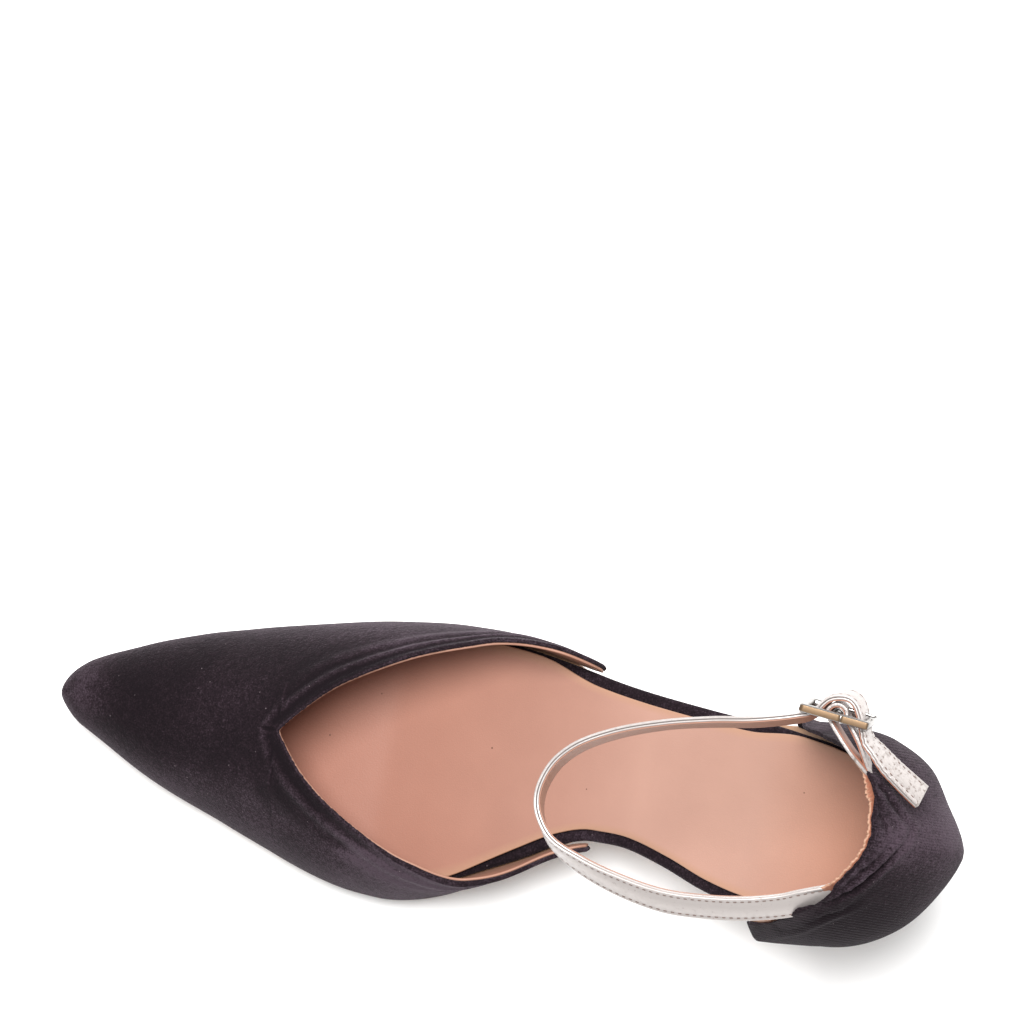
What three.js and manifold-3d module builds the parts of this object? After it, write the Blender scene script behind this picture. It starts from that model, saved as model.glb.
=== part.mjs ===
// A right strappy heel: pointed velvet vamp, open waist, velvet heel counter and a
// buckled ankle strap on a covered mid-height heel. Millimetres, +Z up, +X towards
// the toe, +Y towards the big-toe side. The origin is the middle of the heel's tip.
import * as THREE from 'three';
import Module from 'manifold-3d';
import { mergeVertices } from 'three/addons/utils/BufferGeometryUtils.js';

const wasm = await Module();
wasm.setup();

// Driving dimensions of the last and the sole
const lastLength = 264;          // heel bulge to toe tip, measured along the floor
const ballWidth = 78;            // across the joints
const heelHeight = 50;           // floor to the underside of the sole at the heel seat
const toeSpring = 8;             // floor to the underside of the sole at the toe tip
const boardBack = 7.5;           // heel bulge to the back of the insole board
const heelRadius = 30;           // roundness of the heel seat from above
const toeRadius = 7;             // roundness of the toe tip from above
const toeTrim = 1.7;             // board cut back inside the point of the toe
const axisShift = 1.4;           // the last's middle line lies off Y = 0
const heelSetForward = 33;       // heel bulge to the middle of the heel's tip
const outsoleThickness = 2.6;
const boardThickness = 3;
const sockThickness = 1.2;
const waistInset = 0.9;          // outsole inside the board's edge at the open waist
const sockInset = 0.7;           // sock inside the board's edge
const sockWaistInset = 2.4;      // further in where the wrapped velvet edge shows
const soleStep = 8;              // over which the outsole widens under the upper
const clearance = 0.3;           // between pieces that lie on each other

// Driving dimensions of the upper
const wallThickness = 1.9;       // velvet, backing and lining together
const instepHeight = 60;         // last above the feather edge at the wing's end
const noseRound = 3.2;           // how far the crown stands behind the toe's tip
const sideSwell = 1.1;           // how far the vamp's sides swell past the feather edge
const medialWingReach = 107;     // how far back the vamp's wings come
const lateralWingReach = 111.5;
const throatPoint = 195.2;       // lowest point of the V, from the heel bulge
const toplineBand = 4.2;         // folded edge along the throat
const mitreLength = 5.9;         // from the V to where the folded edge's mitre runs out
const bandRise = 0.5;            // how proud the folded edge stands
const bandStep = 0.7;            // over which it rises
const counterHeight = 52;        // topline above the feather edge at the back
const medialCounterReach = 50;   // how far forward the counter's wings come
const lateralCounterReach = 44;
const wingSweep = 3.5;           // how far the wing's front edge leans forward

// Driving dimensions of the strap and its buckle
const strapWidth = 8;
const strapThickness = 1.7;
const strapReach = 77.6;         // how far the loop comes forward of its seam
const strapSpread = 54;          // across the loop
const tailLength = 17;           // strap past the buckle
const seamLength = 6;            // strap held in the topline
const seamShare = 0.63;          // where the strap leaves the counter's medial topline
const stayShare = 0.52;          // where the stay leaves the counter's lateral topline
const stayWidth = 5;
const stayThickness = 1.2;
const buckleLength = 18.5;
const buckleHeight = 13.5;
const buckleWire = 1.8;
const barWidth = 1.2;
const prongWire = 1.5;
const holeClearance = 0.25;      // between the prong's curl and the bar
const buckleAhead = 11.2;        // from the stay's seam to the buckle's bar
const buckleOutward = 14.5;
const buckleTurn = 6;            // degrees between the buckle and the shoe's length
const buckleTilt = 10;           // degrees that the buckle's top leans inwards

// Driving dimensions of the heel
const heelTipLength = 15;
const heelTipWidth = 17;
const topPieceThickness = 5;
const heelTopLength = 47;
const heelInset = 1.5;           // heel cover inside the sole's edge at the seat
const heelSquareness = 0.72;     // exponent of the heel's rounded section
const heelFlare = 1.7;           // exponent of its growth from the tip to the seat

const colours = { velvet: 0x2d242a, nude: 0xd6a591, silver: 0xe1dedc, metal: 0xc9b79a, rubber: 0x1d1a1b,
  leather: 0xb98d6d };

// Footprint: half widths of the insole board, as shares of lastLength and ballWidth
const footprint = [
  { at: 0.130, medial: 0.298, lateral: 0.275 }, { at: 0.177, medial: 0.315, lateral: 0.298 },
  { at: 0.223, medial: 0.312, lateral: 0.318 }, { at: 0.270, medial: 0.280, lateral: 0.326 },
  { at: 0.316, medial: 0.228, lateral: 0.339 }, { at: 0.362, medial: 0.190, lateral: 0.355 },
  { at: 0.400, medial: 0.188, lateral: 0.373 }, { at: 0.438, medial: 0.222, lateral: 0.397 },
  { at: 0.477, medial: 0.292, lateral: 0.420 }, { at: 0.515, medial: 0.354, lateral: 0.438 },
  { at: 0.554, medial: 0.415, lateral: 0.446 }, { at: 0.592, medial: 0.456, lateral: 0.444 },
  { at: 0.631, medial: 0.474, lateral: 0.431 }, { at: 0.677, medial: 0.469, lateral: 0.408 },
  { at: 0.731, medial: 0.435, lateral: 0.369 }, { at: 0.788, medial: 0.372, lateral: 0.324 },
  { at: 0.846, medial: 0.295, lateral: 0.272 }, { at: 0.904, medial: 0.204, lateral: 0.205 },
  { at: 0.954, medial: 0.112, lateral: 0.130 }, { at: 1.000, medial: 0.030, lateral: 0.052 }];

// Side profile: underside of the sole, rise as a share of heelHeight or of toeSpring
const treadRows = [
  { at: 0.000, rise: 1.000 }, { at: 0.080, rise: 0.970 }, { at: 0.155, rise: 0.900 },
  { at: 0.230, rise: 0.785 }, { at: 0.310, rise: 0.620 }, { at: 0.385, rise: 0.440 },
  { at: 0.460, rise: 0.272 }, { at: 0.535, rise: 0.130 }, { at: 0.595, rise: 0.045 },
  { at: 0.635, rise: 0.008 }, { at: 0.655, rise: 0.000 }, { at: 0.745, rise: 0.000 }];
const springRows = [
  { at: 0.745, rise: 0.00 }, { at: 0.800, rise: 0.06 }, { at: 0.860, rise: 0.26 },
  { at: 0.930, rise: 0.62 }, { at: 1.000, rise: 1.00 }];

// Crown of the last: height above the feather edge as a share of instepHeight
const crownRows = [
  { at: 0.400, rise: 1.000 }, { at: 0.450, rise: 0.950 }, { at: 0.500, rise: 0.900 }, { at: 0.562, rise: 0.830 },
  { at: 0.631, rise: 0.730 }, { at: 0.704, rise: 0.645 }, { at: 0.765, rise: 0.565 }, { at: 0.808, rise: 0.500 },
  { at: 0.865, rise: 0.405 }, { at: 0.923, rise: 0.298 }, { at: 0.962, rise: 0.208 }, { at: 0.984, rise: 0.145 },
  { at: 0.996, rise: 0.095 }];

// Throat, from the wing's end (0) to the point of the V (1): how far round the section
// it lies on each side, where 1 is the crown, and how far the wings flare as shares of
// ballWidth
const throatRows = [
  { at: 0.00, medial: 0.045, lateral: 0.050, medialFlare: 0.030, lateralFlare: 0.026 },
  { at: 0.03, medial: 0.075, lateral: 0.115, medialFlare: 0.036, lateralFlare: 0.032 },
  { at: 0.11, medial: 0.110, lateral: 0.205, medialFlare: 0.052, lateralFlare: 0.038 },
  { at: 0.22, medial: 0.160, lateral: 0.260, medialFlare: 0.062, lateralFlare: 0.032 },
  { at: 0.34, medial: 0.230, lateral: 0.300, medialFlare: 0.040, lateralFlare: 0.016 },
  { at: 0.43, medial: 0.320, lateral: 0.355, medialFlare: 0.016, lateralFlare: 0.004 },
  { at: 0.53, medial: 0.430, lateral: 0.430, medialFlare: 0.000, lateralFlare: 0.000 },
  { at: 0.63, medial: 0.540, lateral: 0.510, medialFlare: 0.000, lateralFlare: 0.000 },
  { at: 0.74, medial: 0.645, lateral: 0.615, medialFlare: 0.000, lateralFlare: 0.000 },
  { at: 0.84, medial: 0.745, lateral: 0.725, medialFlare: 0.000, lateralFlare: 0.000 },
  { at: 0.92, medial: 0.850, lateral: 0.850, medialFlare: 0.000, lateralFlare: 0.000 },
  { at: 1.00, medial: 1.000, lateral: 1.000, medialFlare: 0.000, lateralFlare: 0.000 }];

// Counter, from the back seam (0) to the wing's end (1) on each side: height as a share
// of counterHeight; swell of the sides and inward lean of the topline as shares of
// heelRadius
const medialCounter = [
  { at: 0.00, height: 1.00, swell: 0.150, lean: 0.500 },
  { at: 0.20, height: 0.99, swell: 0.110, lean: 0.490 },
  { at: 0.40, height: 0.97, swell: 0.120, lean: 0.415 },
  { at: 0.60, height: 0.94, swell: 0.145, lean: 0.270 },
  { at: 0.75, height: 0.84, swell: 0.130, lean: 0.100 },
  { at: 0.88, height: 0.62, swell: 0.100, lean: 0.000 },
  { at: 1.00, height: 0.40, swell: 0.080, lean: -0.020 }];
const lateralCounter = [
  { at: 0.00, height: 1.00, swell: 0.150, lean: 0.500 },
  { at: 0.20, height: 0.99, swell: 0.060, lean: 0.420 },
  { at: 0.40, height: 0.97, swell: 0.085, lean: 0.225 },
  { at: 0.60, height: 0.92, swell: 0.115, lean: 0.080 },
  { at: 0.75, height: 0.80, swell: 0.125, lean: 0.010 },
  { at: 0.88, height: 0.58, swell: 0.115, lean: -0.010 },
  { at: 1.00, height: 0.40, swell: 0.080, lean: -0.020 }];

// A named column of a table, read smoothly at a place between its rows
function column(rows, name, at) {
  const last = rows.length - 1;
  if (at <= rows[0].at) return rows[0][name];
  if (at >= rows[last].at) return rows[last][name];
  let row = 0;
  while (rows[row + 1].at < at) row += 1;
  const slope = (index) => {
    const before = rows[Math.max(index - 1, 0)];
    const after = rows[Math.min(index + 1, last)];
    const here = rows[index];
    const rise = (here[name] - before[name]) * (after[name] - here[name]);
    if (index > 0 && index < last && rise <= 0) return 0;
    return (after[name] - before[name]) / (after.at - before.at);
  };
  const from = rows[row];
  const to = rows[row + 1];
  const span = to.at - from.at;
  const t = (at - from.at) / span;
  const fall = 1 + t * t * (2 * t - 3);
  return from[name] * fall + to[name] * (1 - fall)
    + span * (slope(row) * t * (1 - t) * (1 - t) - slope(row + 1) * t * t * (1 - t));
}

// Half width of the board at a distance from the heel bulge, with round heel and toe
function halfWidth(u, side) {
  let width = ballWidth * column(footprint, side, u / lastLength);
  const round = heelRadius * (side === 'medial' ? 1 : 1.25);
  const intoHeel = (boardBack + round - u) / round;
  const intoToe = (u - (lastLength - toeRadius)) / toeRadius;
  if (intoHeel > 0) width *= Math.sqrt(Math.max(0, 1 - intoHeel * intoHeel));
  if (intoToe > 0) width *= Math.sqrt(Math.max(0, 1 - intoToe * intoToe));
  return width;
}

function treadHeight(u) {
  const at = u / lastLength;
  const spring = toeSpring * column(springRows, 'rise', at);
  return heelHeight * column(treadRows, 'rise', at) + spring;
}

const featherLift = outsoleThickness + clearance;
const sideSign = { medial: 1, lateral: -1 };
const wingReach = { medial: medialWingReach, lateral: lateralWingReach };
const counterReach = { medial: medialCounterReach, lateral: lateralCounterReach };

// One side of the board's outline from heel to toe, grown outwards by grow(u)
function outline(side, grow, count) {
  const raw = [];
  for (let i = 0; i <= count; i += 1) {
    const u = boardBack + (lastLength - boardBack) * (1 - Math.cos(Math.PI * i / count)) / 2;
    raw.push(new THREE.Vector2(u, axisShift + sideSign[side] * halfWidth(u, side)));
  }
  return raw.map((point, i) => {
    const along = raw[Math.min(i + 1, count)].clone().sub(raw[Math.max(i - 1, 0)]).normalize();
    if (i === 0) along.set(0, sideSign[side]);
    if (i === count) along.set(0, -sideSign[side]);
    const out = new THREE.Vector2(-along.y, along.x).multiplyScalar(sideSign[side]);
    return point.clone().addScaledVector(out, grow(point.x));
  });
}

// Points at even spacing along a run of plan points
function travel(points) {
  const lengths = [0];
  for (let i = 1; i < points.length; i += 1) {
    lengths.push(lengths[i - 1] + points[i].distanceTo(points[i - 1]));
  }
  return {
    length: lengths[points.length - 1],
    point(distance) {
      let i = 1;
      while (i < points.length - 1 && lengths[i] < distance) i += 1;
      const t = (distance - lengths[i - 1]) / (lengths[i] - lengths[i - 1] || 1);
      return points[i - 1].clone().lerp(points[i], Math.min(Math.max(t, 0), 1));
    },
    distanceAt(u) {
      let i = 1;
      while (i < points.length - 1 && points[i].x < u) i += 1;
      const t = (u - points[i - 1].x) / (points[i].x - points[i - 1].x || 1);
      return lengths[i - 1] + t * (lengths[i] - lengths[i - 1]);
    },
  };
}

function toWorld(u, y, z) {
  return new THREE.Vector3(u - heelSetForward, y, z);
}

// A mesh from a list of points and triangles, with points that coincide joined
function geometryOf(points, triangles) {
  const geometry = new THREE.BufferGeometry();
  const numbers = new Float32Array(points.flatMap((point) => [point.x, point.y, point.z]));
  geometry.setAttribute('position', new THREE.BufferAttribute(numbers, 3));
  geometry.setIndex(triangles);
  const merged = mergeVertices(geometry, 1e-3);
  const index = [];
  for (let i = 0; i < merged.index.count; i += 3) {
    const [a, b, c] = [0, 1, 2].map((k) => merged.index.getX(i + k));
    if (a !== b && b !== c && c !== a) index.push(a, b, c);
  }
  merged.setIndex(index);
  return merged;
}

// Quads between rows of points; a closed grid joins its last column to its first
function gridTriangles(rows, columns, closed, flipped) {
  const triangles = [];
  const steps = closed ? columns : columns - 1;
  for (let i = 0; i < rows - 1; i += 1) {
    for (let j = 0; j < steps; j += 1) {
      const a = i * columns + j;
      const b = i * columns + (j + 1) % columns;
      const c = b + columns;
      const d = a + columns;
      if (flipped) triangles.push(a, d, b, b, d, c);
      else triangles.push(a, b, d, b, c, d);
    }
  }
  return triangles;
}

// A sheet given a real thickness on its inner side, closed along every open edge; its
// wall stands level along the feather edge
function thicken(sheet, thickness) {
  sheet.computeVertexNormals();
  const position = sheet.attributes.position;
  const normal = sheet.attributes.normal;
  const count = position.count;
  const points = [];
  for (let i = 0; i < count; i += 1) points.push(new THREE.Vector3().fromBufferAttribute(position, i));
  for (let i = 0; i < count; i += 1) {
    const out = new THREE.Vector3().fromBufferAttribute(normal, i);
    const feather = treadHeight(points[i].x + heelSetForward) + featherLift;
    if (Math.abs(points[i].z - feather) < clearance / 10) out.setZ(0).normalize();
    points.push(points[i].clone().addScaledVector(out, -thickness));
  }
  const outer = Array.from(sheet.index.array);
  const triangles = [...outer];
  const edges = new Set();
  for (let i = 0; i < outer.length; i += 3) {
    const [a, b, c] = outer.slice(i, i + 3);
    triangles.push(a + count, c + count, b + count);
    for (const [from, to] of [[a, b], [b, c], [c, a]]) edges.add(`${from} ${to}`);
  }
  for (const edge of edges) {
    const [from, to] = edge.split(' ').map(Number);
    if (!edges.has(`${to} ${from}`)) {
      triangles.push(from, from + count, to + count, from, to + count, to);
    }
  }
  return geometryOf(points, triangles);
}

// A solid lofted through closed sections that have equally many points
function loft(sections) {
  const size = sections[0].length;
  const points = sections.flat();
  const triangles = gridTriangles(sections.length, size, true, false);
  const lastStart = (sections.length - 1) * size;
  for (let j = 1; j < size - 1; j += 1) {
    triangles.push(0, j + 1, j);
    triangles.push(lastStart, lastStart + j, lastStart + j + 1);
  }
  return geometryOf(points, triangles);
}

function facingOut(geometry) {
  const position = geometry.attributes.position;
  const index = geometry.index;
  const [a, b, c] = [0, 1, 2].map(() => new THREE.Vector3());
  let volume = 0;
  for (let i = 0; i < index.count; i += 3) {
    a.fromBufferAttribute(position, index.getX(i));
    b.fromBufferAttribute(position, index.getX(i + 1));
    c.fromBufferAttribute(position, index.getX(i + 2));
    volume += a.dot(b.cross(c));
  }
  if (volume < 0) {
    const turned = Array.from(index.array);
    for (let i = 0; i < turned.length; i += 3) [turned[i], turned[i + 1]] = [turned[i + 1], turned[i]];
    geometry.setIndex(turned);
  }
  return geometry;
}

function solid(geometry) {
  const bare = facingOut(geometry);
  return new wasm.Manifold(new wasm.Mesh({
    numProp: 3,
    vertProperties: new Float32Array(bare.attributes.position.array),
    triVerts: new Uint32Array(bare.index.array),
  }));
}

function fromSolid(body) {
  const mesh = body.getMesh();
  const geometry = new THREE.BufferGeometry();
  geometry.setAttribute('position', new THREE.BufferAttribute(mesh.vertProperties, 3));
  geometry.setIndex(new THREE.BufferAttribute(mesh.triVerts, 1));
  return geometry;
}

// A plate that follows the side profile, its outline grown by grow(u)
function plate(grow, lift, thickness, stations) {
  const across = 3;
  const medial = outline('medial', grow, stations);
  const lateral = outline('lateral', grow, stations);
  const sections = medial.map((edge, i) => {
    const top = [];
    const under = [];
    for (let j = 0; j <= across; j += 1) {
      const spot = edge.clone().lerp(lateral[i], j / across);
      const z = treadHeight(spot.x) + lift;
      top.push(toWorld(spot.x, spot.y, z + thickness));
      under.unshift(toWorld(spot.x, spot.y, z));
    }
    return [...top, ...under];
  });
  return loft(sections);
}

const materials = {};
function finish(name, colour, roughness, metalness) {
  materials[name] = materials[name]
    || new THREE.MeshStandardMaterial({ name, color: colour, roughness, metalness });
  return materials[name];
}

const velvet = finish('velvet', colours.velvet, 0.9, 0);
const nude = finish('nude', colours.nude, 0.6, 0);
const silver = finish('silver', colours.silver, 0.35, 0.3);
const metal = finish('metal', colours.metal, 0.25, 1);
const rubber = finish('rubber', colours.rubber, 0.7, 0);
const leather = finish('leather', colours.leather, 0.6, 0);

const shoe = new THREE.Group();
shoe.name = 'strappy_heel';
function add(name, geometry, material) {
  const mesh = new THREE.Mesh(facingOut(geometry), material);
  mesh.name = name;
  shoe.add(mesh);
}

// Where the upper stands on the sole, the sole is grown to the wall's outer face
function underWall(u) {
  const { smoothstep } = THREE.MathUtils;
  const behind = smoothstep(u, medialCounterReach - soleStep, medialCounterReach + soleStep);
  const ahead = smoothstep(u, medialWingReach - soleStep, medialWingReach + soleStep);
  return 1 - behind + ahead;
}

const shellGrow = clearance + wallThickness;

function addSole() {
  const trim = (u) => toeTrim * THREE.MathUtils.smoothstep(u, lastLength * 0.92, lastLength * 0.99);
  const outsoleGrow = (u) => -waistInset + underWall(u) * (waistInset + shellGrow - clearance);
  add('outsole', plate((u) => outsoleGrow(u) - trim(u) * 0.3, 0, outsoleThickness, 40), leather);
  add('insole_board', plate((u) => -trim(u), featherLift, boardThickness, 40), velvet);
  const sockGrow = (u) => -trim(u) - sockInset - (1 - underWall(u)) * sockWaistInset;
  const sockLift = featherLift + boardThickness + clearance;
  add('sock', plate(sockGrow, sockLift, sockThickness, 40), nude);
}

// The crown line of the last over a distance from the heel bulge
function crownPoint(u) {
  const height = instepHeight * column(crownRows, 'rise', u / lastLength);
  return toWorld(u, axisShift, treadHeight(u) + featherLift + height);
}

function throatShare(side, u) {
  return (u - wingReach[side]) / (throatPoint - wingReach[side]);
}

// A point of the vamp's outer face: the side, a place along its feather edge and how
// far round the section, where 1 is the crown
function vampPoint(side, foot, turn) {
  const angle = turn * Math.PI / 2;
  const crownU = foot.x - noseRound * THREE.MathUtils.smoothstep(foot.x, lastLength * 0.92, lastLength);
  const crown = crownPoint(crownU);
  const base = toWorld(foot.x, foot.y, treadHeight(foot.x) + featherLift);
  const rise = Math.sin(angle);
  const inward = Math.cos(angle);
  const offMiddle = THREE.MathUtils.smoothstep(Math.abs(base.y - crown.y), 0, toeRadius);
  const swell = sideSwell * offMiddle * Math.sin(Math.PI * Math.sqrt(Math.min(rise, 1)));
  const flareShare = column(throatRows, `${side}Flare`, throatShare(side, foot.x));
  const flare = ballWidth * flareShare * THREE.MathUtils.smoothstep(turn, 0, 0.3);
  const x = base.x + (crown.x - base.x) * (1 - inward);
  const y = crown.y + (base.y - crown.y) * inward + sideSign[side] * (swell + flare);
  const z = base.z + (crown.z - base.z) * rise;
  return new THREE.Vector3(x, y, z);
}

// Width of the folded edge across the section: full along the throat, and narrowing to
// nothing just ahead of the V, where the two sides meet in a mitre
function foldWidth(u) {
  const fromPoint = (u - throatPoint) / mitreLength;
  const cornerShare = 1.35 + 0.35 * THREE.MathUtils.clamp(fromPoint, -1, 0);
  return toplineBand * cornerShare * THREE.MathUtils.clamp(1 - fromPoint, 0, 1);
}

// One section of the vamp from the feather edge up to the throat or the crown, with the
// folded edge standing proud of the rest
function vampSection(side, foot, limit) {
  const columns = 8;
  const samples = 12;
  let length = 0;
  for (let k = 0; k < samples; k += 1) {
    const from = vampPoint(side, foot, limit * k / samples);
    length += from.distanceTo(vampPoint(side, foot, limit * (k + 1) / samples));
  }
  const fold = foldWidth(foot.x);
  const width = Math.min(Math.max(fold, toplineBand * 0.4), length * 0.4) / length;
  const step = bandStep / length;
  const shares = [];
  for (let k = 0; k <= columns; k += 1) shares.push((1 - width - step) * k / columns);
  shares.push(1 - width, 1 - width / 2, 1);
  return shares.map((share, k) => {
    const turn = limit * share;
    const point = vampPoint(side, foot, turn);
    if (k <= columns || fold <= 0) return point;
    const angle = turn * Math.PI / 2;
    const out = new THREE.Vector3(0, sideSign[side] * Math.cos(angle), Math.sin(angle));
    return point.addScaledVector(out, bandRise);
  });
}

// The vamp's outer sheet: both sides share the crown ahead of the V
function vampSheet() {
  const aheadStations = 14;
  const behindStations = 19;
  const points = [];
  const triangles = [];
  const tip = lastLength + shellGrow;
  const stationsOf = (side) => {
    const stations = [];
    const mitre = throatPoint + mitreLength;
    for (let i = 0; i <= aheadStations; i += 1) {
      stations.push(tip - (tip - mitre) * (i / aheadStations) ** 1.9);
    }
    for (const share of [0.93, 0.6, 0.3]) stations.push(throatPoint + (mitre - throatPoint) * share);
    for (let i = 0; i <= behindStations; i += 1) {
      stations.push(throatPoint - (throatPoint - wingReach[side]) * (i / behindStations) ** 1.15);
    }
    return stations;
  };
  for (const side of ['medial', 'lateral']) {
    const edge = travel(outline(side, () => shellGrow, 240));
    const start = points.length;
    const sections = stationsOf(side).map((u) => {
      const foot = edge.point(edge.distanceAt(u));
      const limit = u >= throatPoint ? 1 : column(throatRows, side, throatShare(side, u));
      return vampSection(side, foot, limit);
    });
    points.push(...sections.flat());
    const block = gridTriangles(sections.length, sections[0].length, false, side === 'medial');
    triangles.push(...block.map((index) => index + start));
  }
  return geometryOf(points, triangles);
}

function addVamp() {
  add('vamp', thicken(vampSheet(), wallThickness), velvet);
}

// A point of the counter's outer face: along the edge from the back seam and up the wall
function counterPoint(side, share, up) {
  const rows = side === 'medial' ? medialCounter : lateralCounter;
  const edge = counterEdges[side];
  const reach = edge.distanceAt(counterReach[side]);
  const foot = edge.point(reach * share);
  const ahead = edge.point(reach * share + 0.5);
  const along = ahead.sub(edge.point(Math.max(reach * share - 0.5, 0))).normalize();
  if (share === 0) along.set(0, sideSign[side]);
  const out = new THREE.Vector2(-along.y, along.x).multiplyScalar(sideSign[side]);
  const swell = heelRadius * column(rows, 'swell', share) * Math.sin(Math.PI * up ** 0.8);
  const lean = heelRadius * column(rows, 'lean', share) * up ** 2;
  const middle = new THREE.Vector2(Math.max(foot.x, boardBack + heelRadius), axisShift);
  const inward = middle.sub(foot).normalize();
  const spot = foot.clone().addScaledVector(out, swell).addScaledVector(inward, lean);
  const rise = counterHeight * column(rows, 'height', share) * up;
  const sweep = wingSweep * THREE.MathUtils.smoothstep(share, 0.7, 1) * up;
  return toWorld(spot.x + sweep, spot.y, treadHeight(foot.x) + featherLift + rise);
}
const counterEdges = {
  medial: travel(outline('medial', () => shellGrow, 240)),
  lateral: travel(outline('lateral', () => shellGrow, 240)),
};

function counterSheet() {
  const stations = 17;
  const up = 11;
  const points = [];
  const rows = [];
  for (let i = -stations; i <= stations; i += 1) rows.push(i / stations);
  for (const row of rows) {
    const side = row < 0 ? 'medial' : 'lateral';
    for (let j = 0; j <= up; j += 1) points.push(counterPoint(side, Math.abs(row), j / up));
  }
  return geometryOf(points, gridTriangles(rows.length, up + 1, false, false));
}

// A ribbon along a curve: middle points, and the direction from its lower to its upper edge
function ribbon(stops, width, thickness) {
  const sections = stops.map((stop, i) => {
    const before = stops[Math.max(i - 1, 0)].at;
    const after = stops[Math.min(i + 1, stops.length - 1)].at;
    const along = after.clone().sub(before).normalize();
    const up = stop.up.clone().addScaledVector(along, -stop.up.dot(along)).normalize();
    const out = new THREE.Vector3().crossVectors(along, up);
    return [[1, 1], [1, -1], [-1, -1], [-1, 1]].map(([u, o]) => stop.at.clone()
      .addScaledVector(up, u * width / 2)
      .addScaledVector(out, o * thickness / 2));
  });
  return loft(sections);
}

// The strap's loop from its seam round the front to the buckle: how far ahead of the
// seam (share of strapReach), to which side (share of strapSpread), how high above the
// seam (share of strapReach), and how far its upper edge leans into the loop (degrees)
const loopRows = [
  { ahead: 0.118, across: 0.398, above: 0.000, lean: 44 },
  { ahead: 0.236, across: 0.443, above: 0.000, lean: 43 },
  { ahead: 0.349, across: 0.468, above: -0.006, lean: 42 },
  { ahead: 0.513, across: 0.481, above: -0.013, lean: 42 },
  { ahead: 0.682, across: 0.444, above: -0.026, lean: 38 },
  { ahead: 0.824, across: 0.381, above: -0.038, lean: 28 },
  { ahead: 0.932, across: 0.298, above: -0.045, lean: 15 },
  { ahead: 0.983, across: 0.189, above: -0.051, lean: 6 },
  { ahead: 0.994, across: 0.106, above: -0.051, lean: 1 },
  { ahead: 0.983, across: 0.020, above: -0.045, lean: -2 },
  { ahead: 0.950, across: -0.074, above: -0.038, lean: -5 },
  { ahead: 0.883, across: -0.167, above: -0.026, lean: -7 },
  { ahead: 0.767, across: -0.257, above: -0.013, lean: -7 },
  { ahead: 0.609, across: -0.335, above: 0.013, lean: -6 },
  { ahead: 0.446, across: -0.393, above: 0.038, lean: -4 },
  { ahead: 0.300, across: -0.440, above: 0.064, lean: -2 }];

// The strap through the buckle: along it and out of it as shares of buckleLength, and
// how far its upper edge leans in beside the buckle's own tilt (degrees)
const weaveRows = [
  { along: 0.570, out: -0.165, lean: 0 },
  { along: 0.470, out: -0.205, lean: 0 },
  { along: 0.365, out: -0.125, lean: 0 },
  { along: 0.290, out: 0.030, lean: 0 },
  { along: 0.225, out: 0.200, lean: 0 },
  { along: 0.130, out: 0.315, lean: 0 },
  { along: 0.000, out: 0.360, lean: 3 },
  { along: -0.130, out: 0.335, lean: 7 },
  { along: -0.235, out: 0.225, lean: 10 },
  { along: -0.302, out: 0.050, lean: 8 },
  { along: -0.368, out: -0.110, lean: 6 },
  { along: -0.465, out: -0.205, lean: 6 },
  { along: -0.520, out: -0.275, lean: 8 }];

// The strap's free end past the buckle: shares of tailLength behind, inwards and below
const tailRows = [
  { behind: 0.153, inward: 0.132, below: 0.006, lean: 20 },
  { behind: 0.360, inward: 0.319, below: 0.053, lean: 29 },
  { behind: 0.622, inward: 0.510, below: 0.153, lean: 34 },
  { behind: 0.894, inward: 0.699, below: 0.282, lean: 37 }];

const curlRadius = barWidth / 2 * Math.SQRT2 + holeClearance + prongWire / 2;

// The middle of the counter's wall at a place along it and a depth under its topline
function wallMiddle(side, share, depth) {
  const rows = side === 'medial' ? medialCounter : lateralCounter;
  const height = counterHeight * column(rows, 'height', share);
  const up = 1 - depth / height;
  const step = 0.02;
  const here = counterPoint(side, share, up);
  const rise = counterPoint(side, share, up + step).sub(counterPoint(side, share, up - step)).normalize();
  const along = counterPoint(side, share + step, up).sub(counterPoint(side, share - step, up)).normalize();
  const out = new THREE.Vector3().crossVectors(along, rise).normalize();
  if (out.y * sideSign[side] < 0) out.negate();
  return { at: here.addScaledVector(out, -wallThickness / 2), up: rise };
}

// Upright, with the top leaning some degrees to one side
function leaning(aside, degrees) {
  const angle = THREE.MathUtils.degToRad(degrees);
  return aside.clone().multiplyScalar(Math.sin(angle)).add(new THREE.Vector3(0, 0, Math.cos(angle)));
}

function buckleFrameAxes() {
  const seat = counterPoint('lateral', stayShare, 1);
  const turn = THREE.MathUtils.degToRad(buckleTurn);
  const along = new THREE.Vector3(Math.cos(turn), -Math.sin(turn), 0);
  const inward = new THREE.Vector3(Math.sin(turn), Math.cos(turn), 0);
  const up = leaning(inward, buckleTilt);
  const out = new THREE.Vector3().crossVectors(along, up).normalize();
  const centre = seat.clone().add(new THREE.Vector3(buckleAhead, -buckleOutward, 0));
  return { centre, along, inward, up, out };
}
const buckle = buckleFrameAxes();

function inBuckle(along, out, up) {
  return buckle.centre.clone().addScaledVector(buckle.along, along)
    .addScaledVector(buckle.out, out).addScaledVector(buckle.up, up);
}

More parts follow.
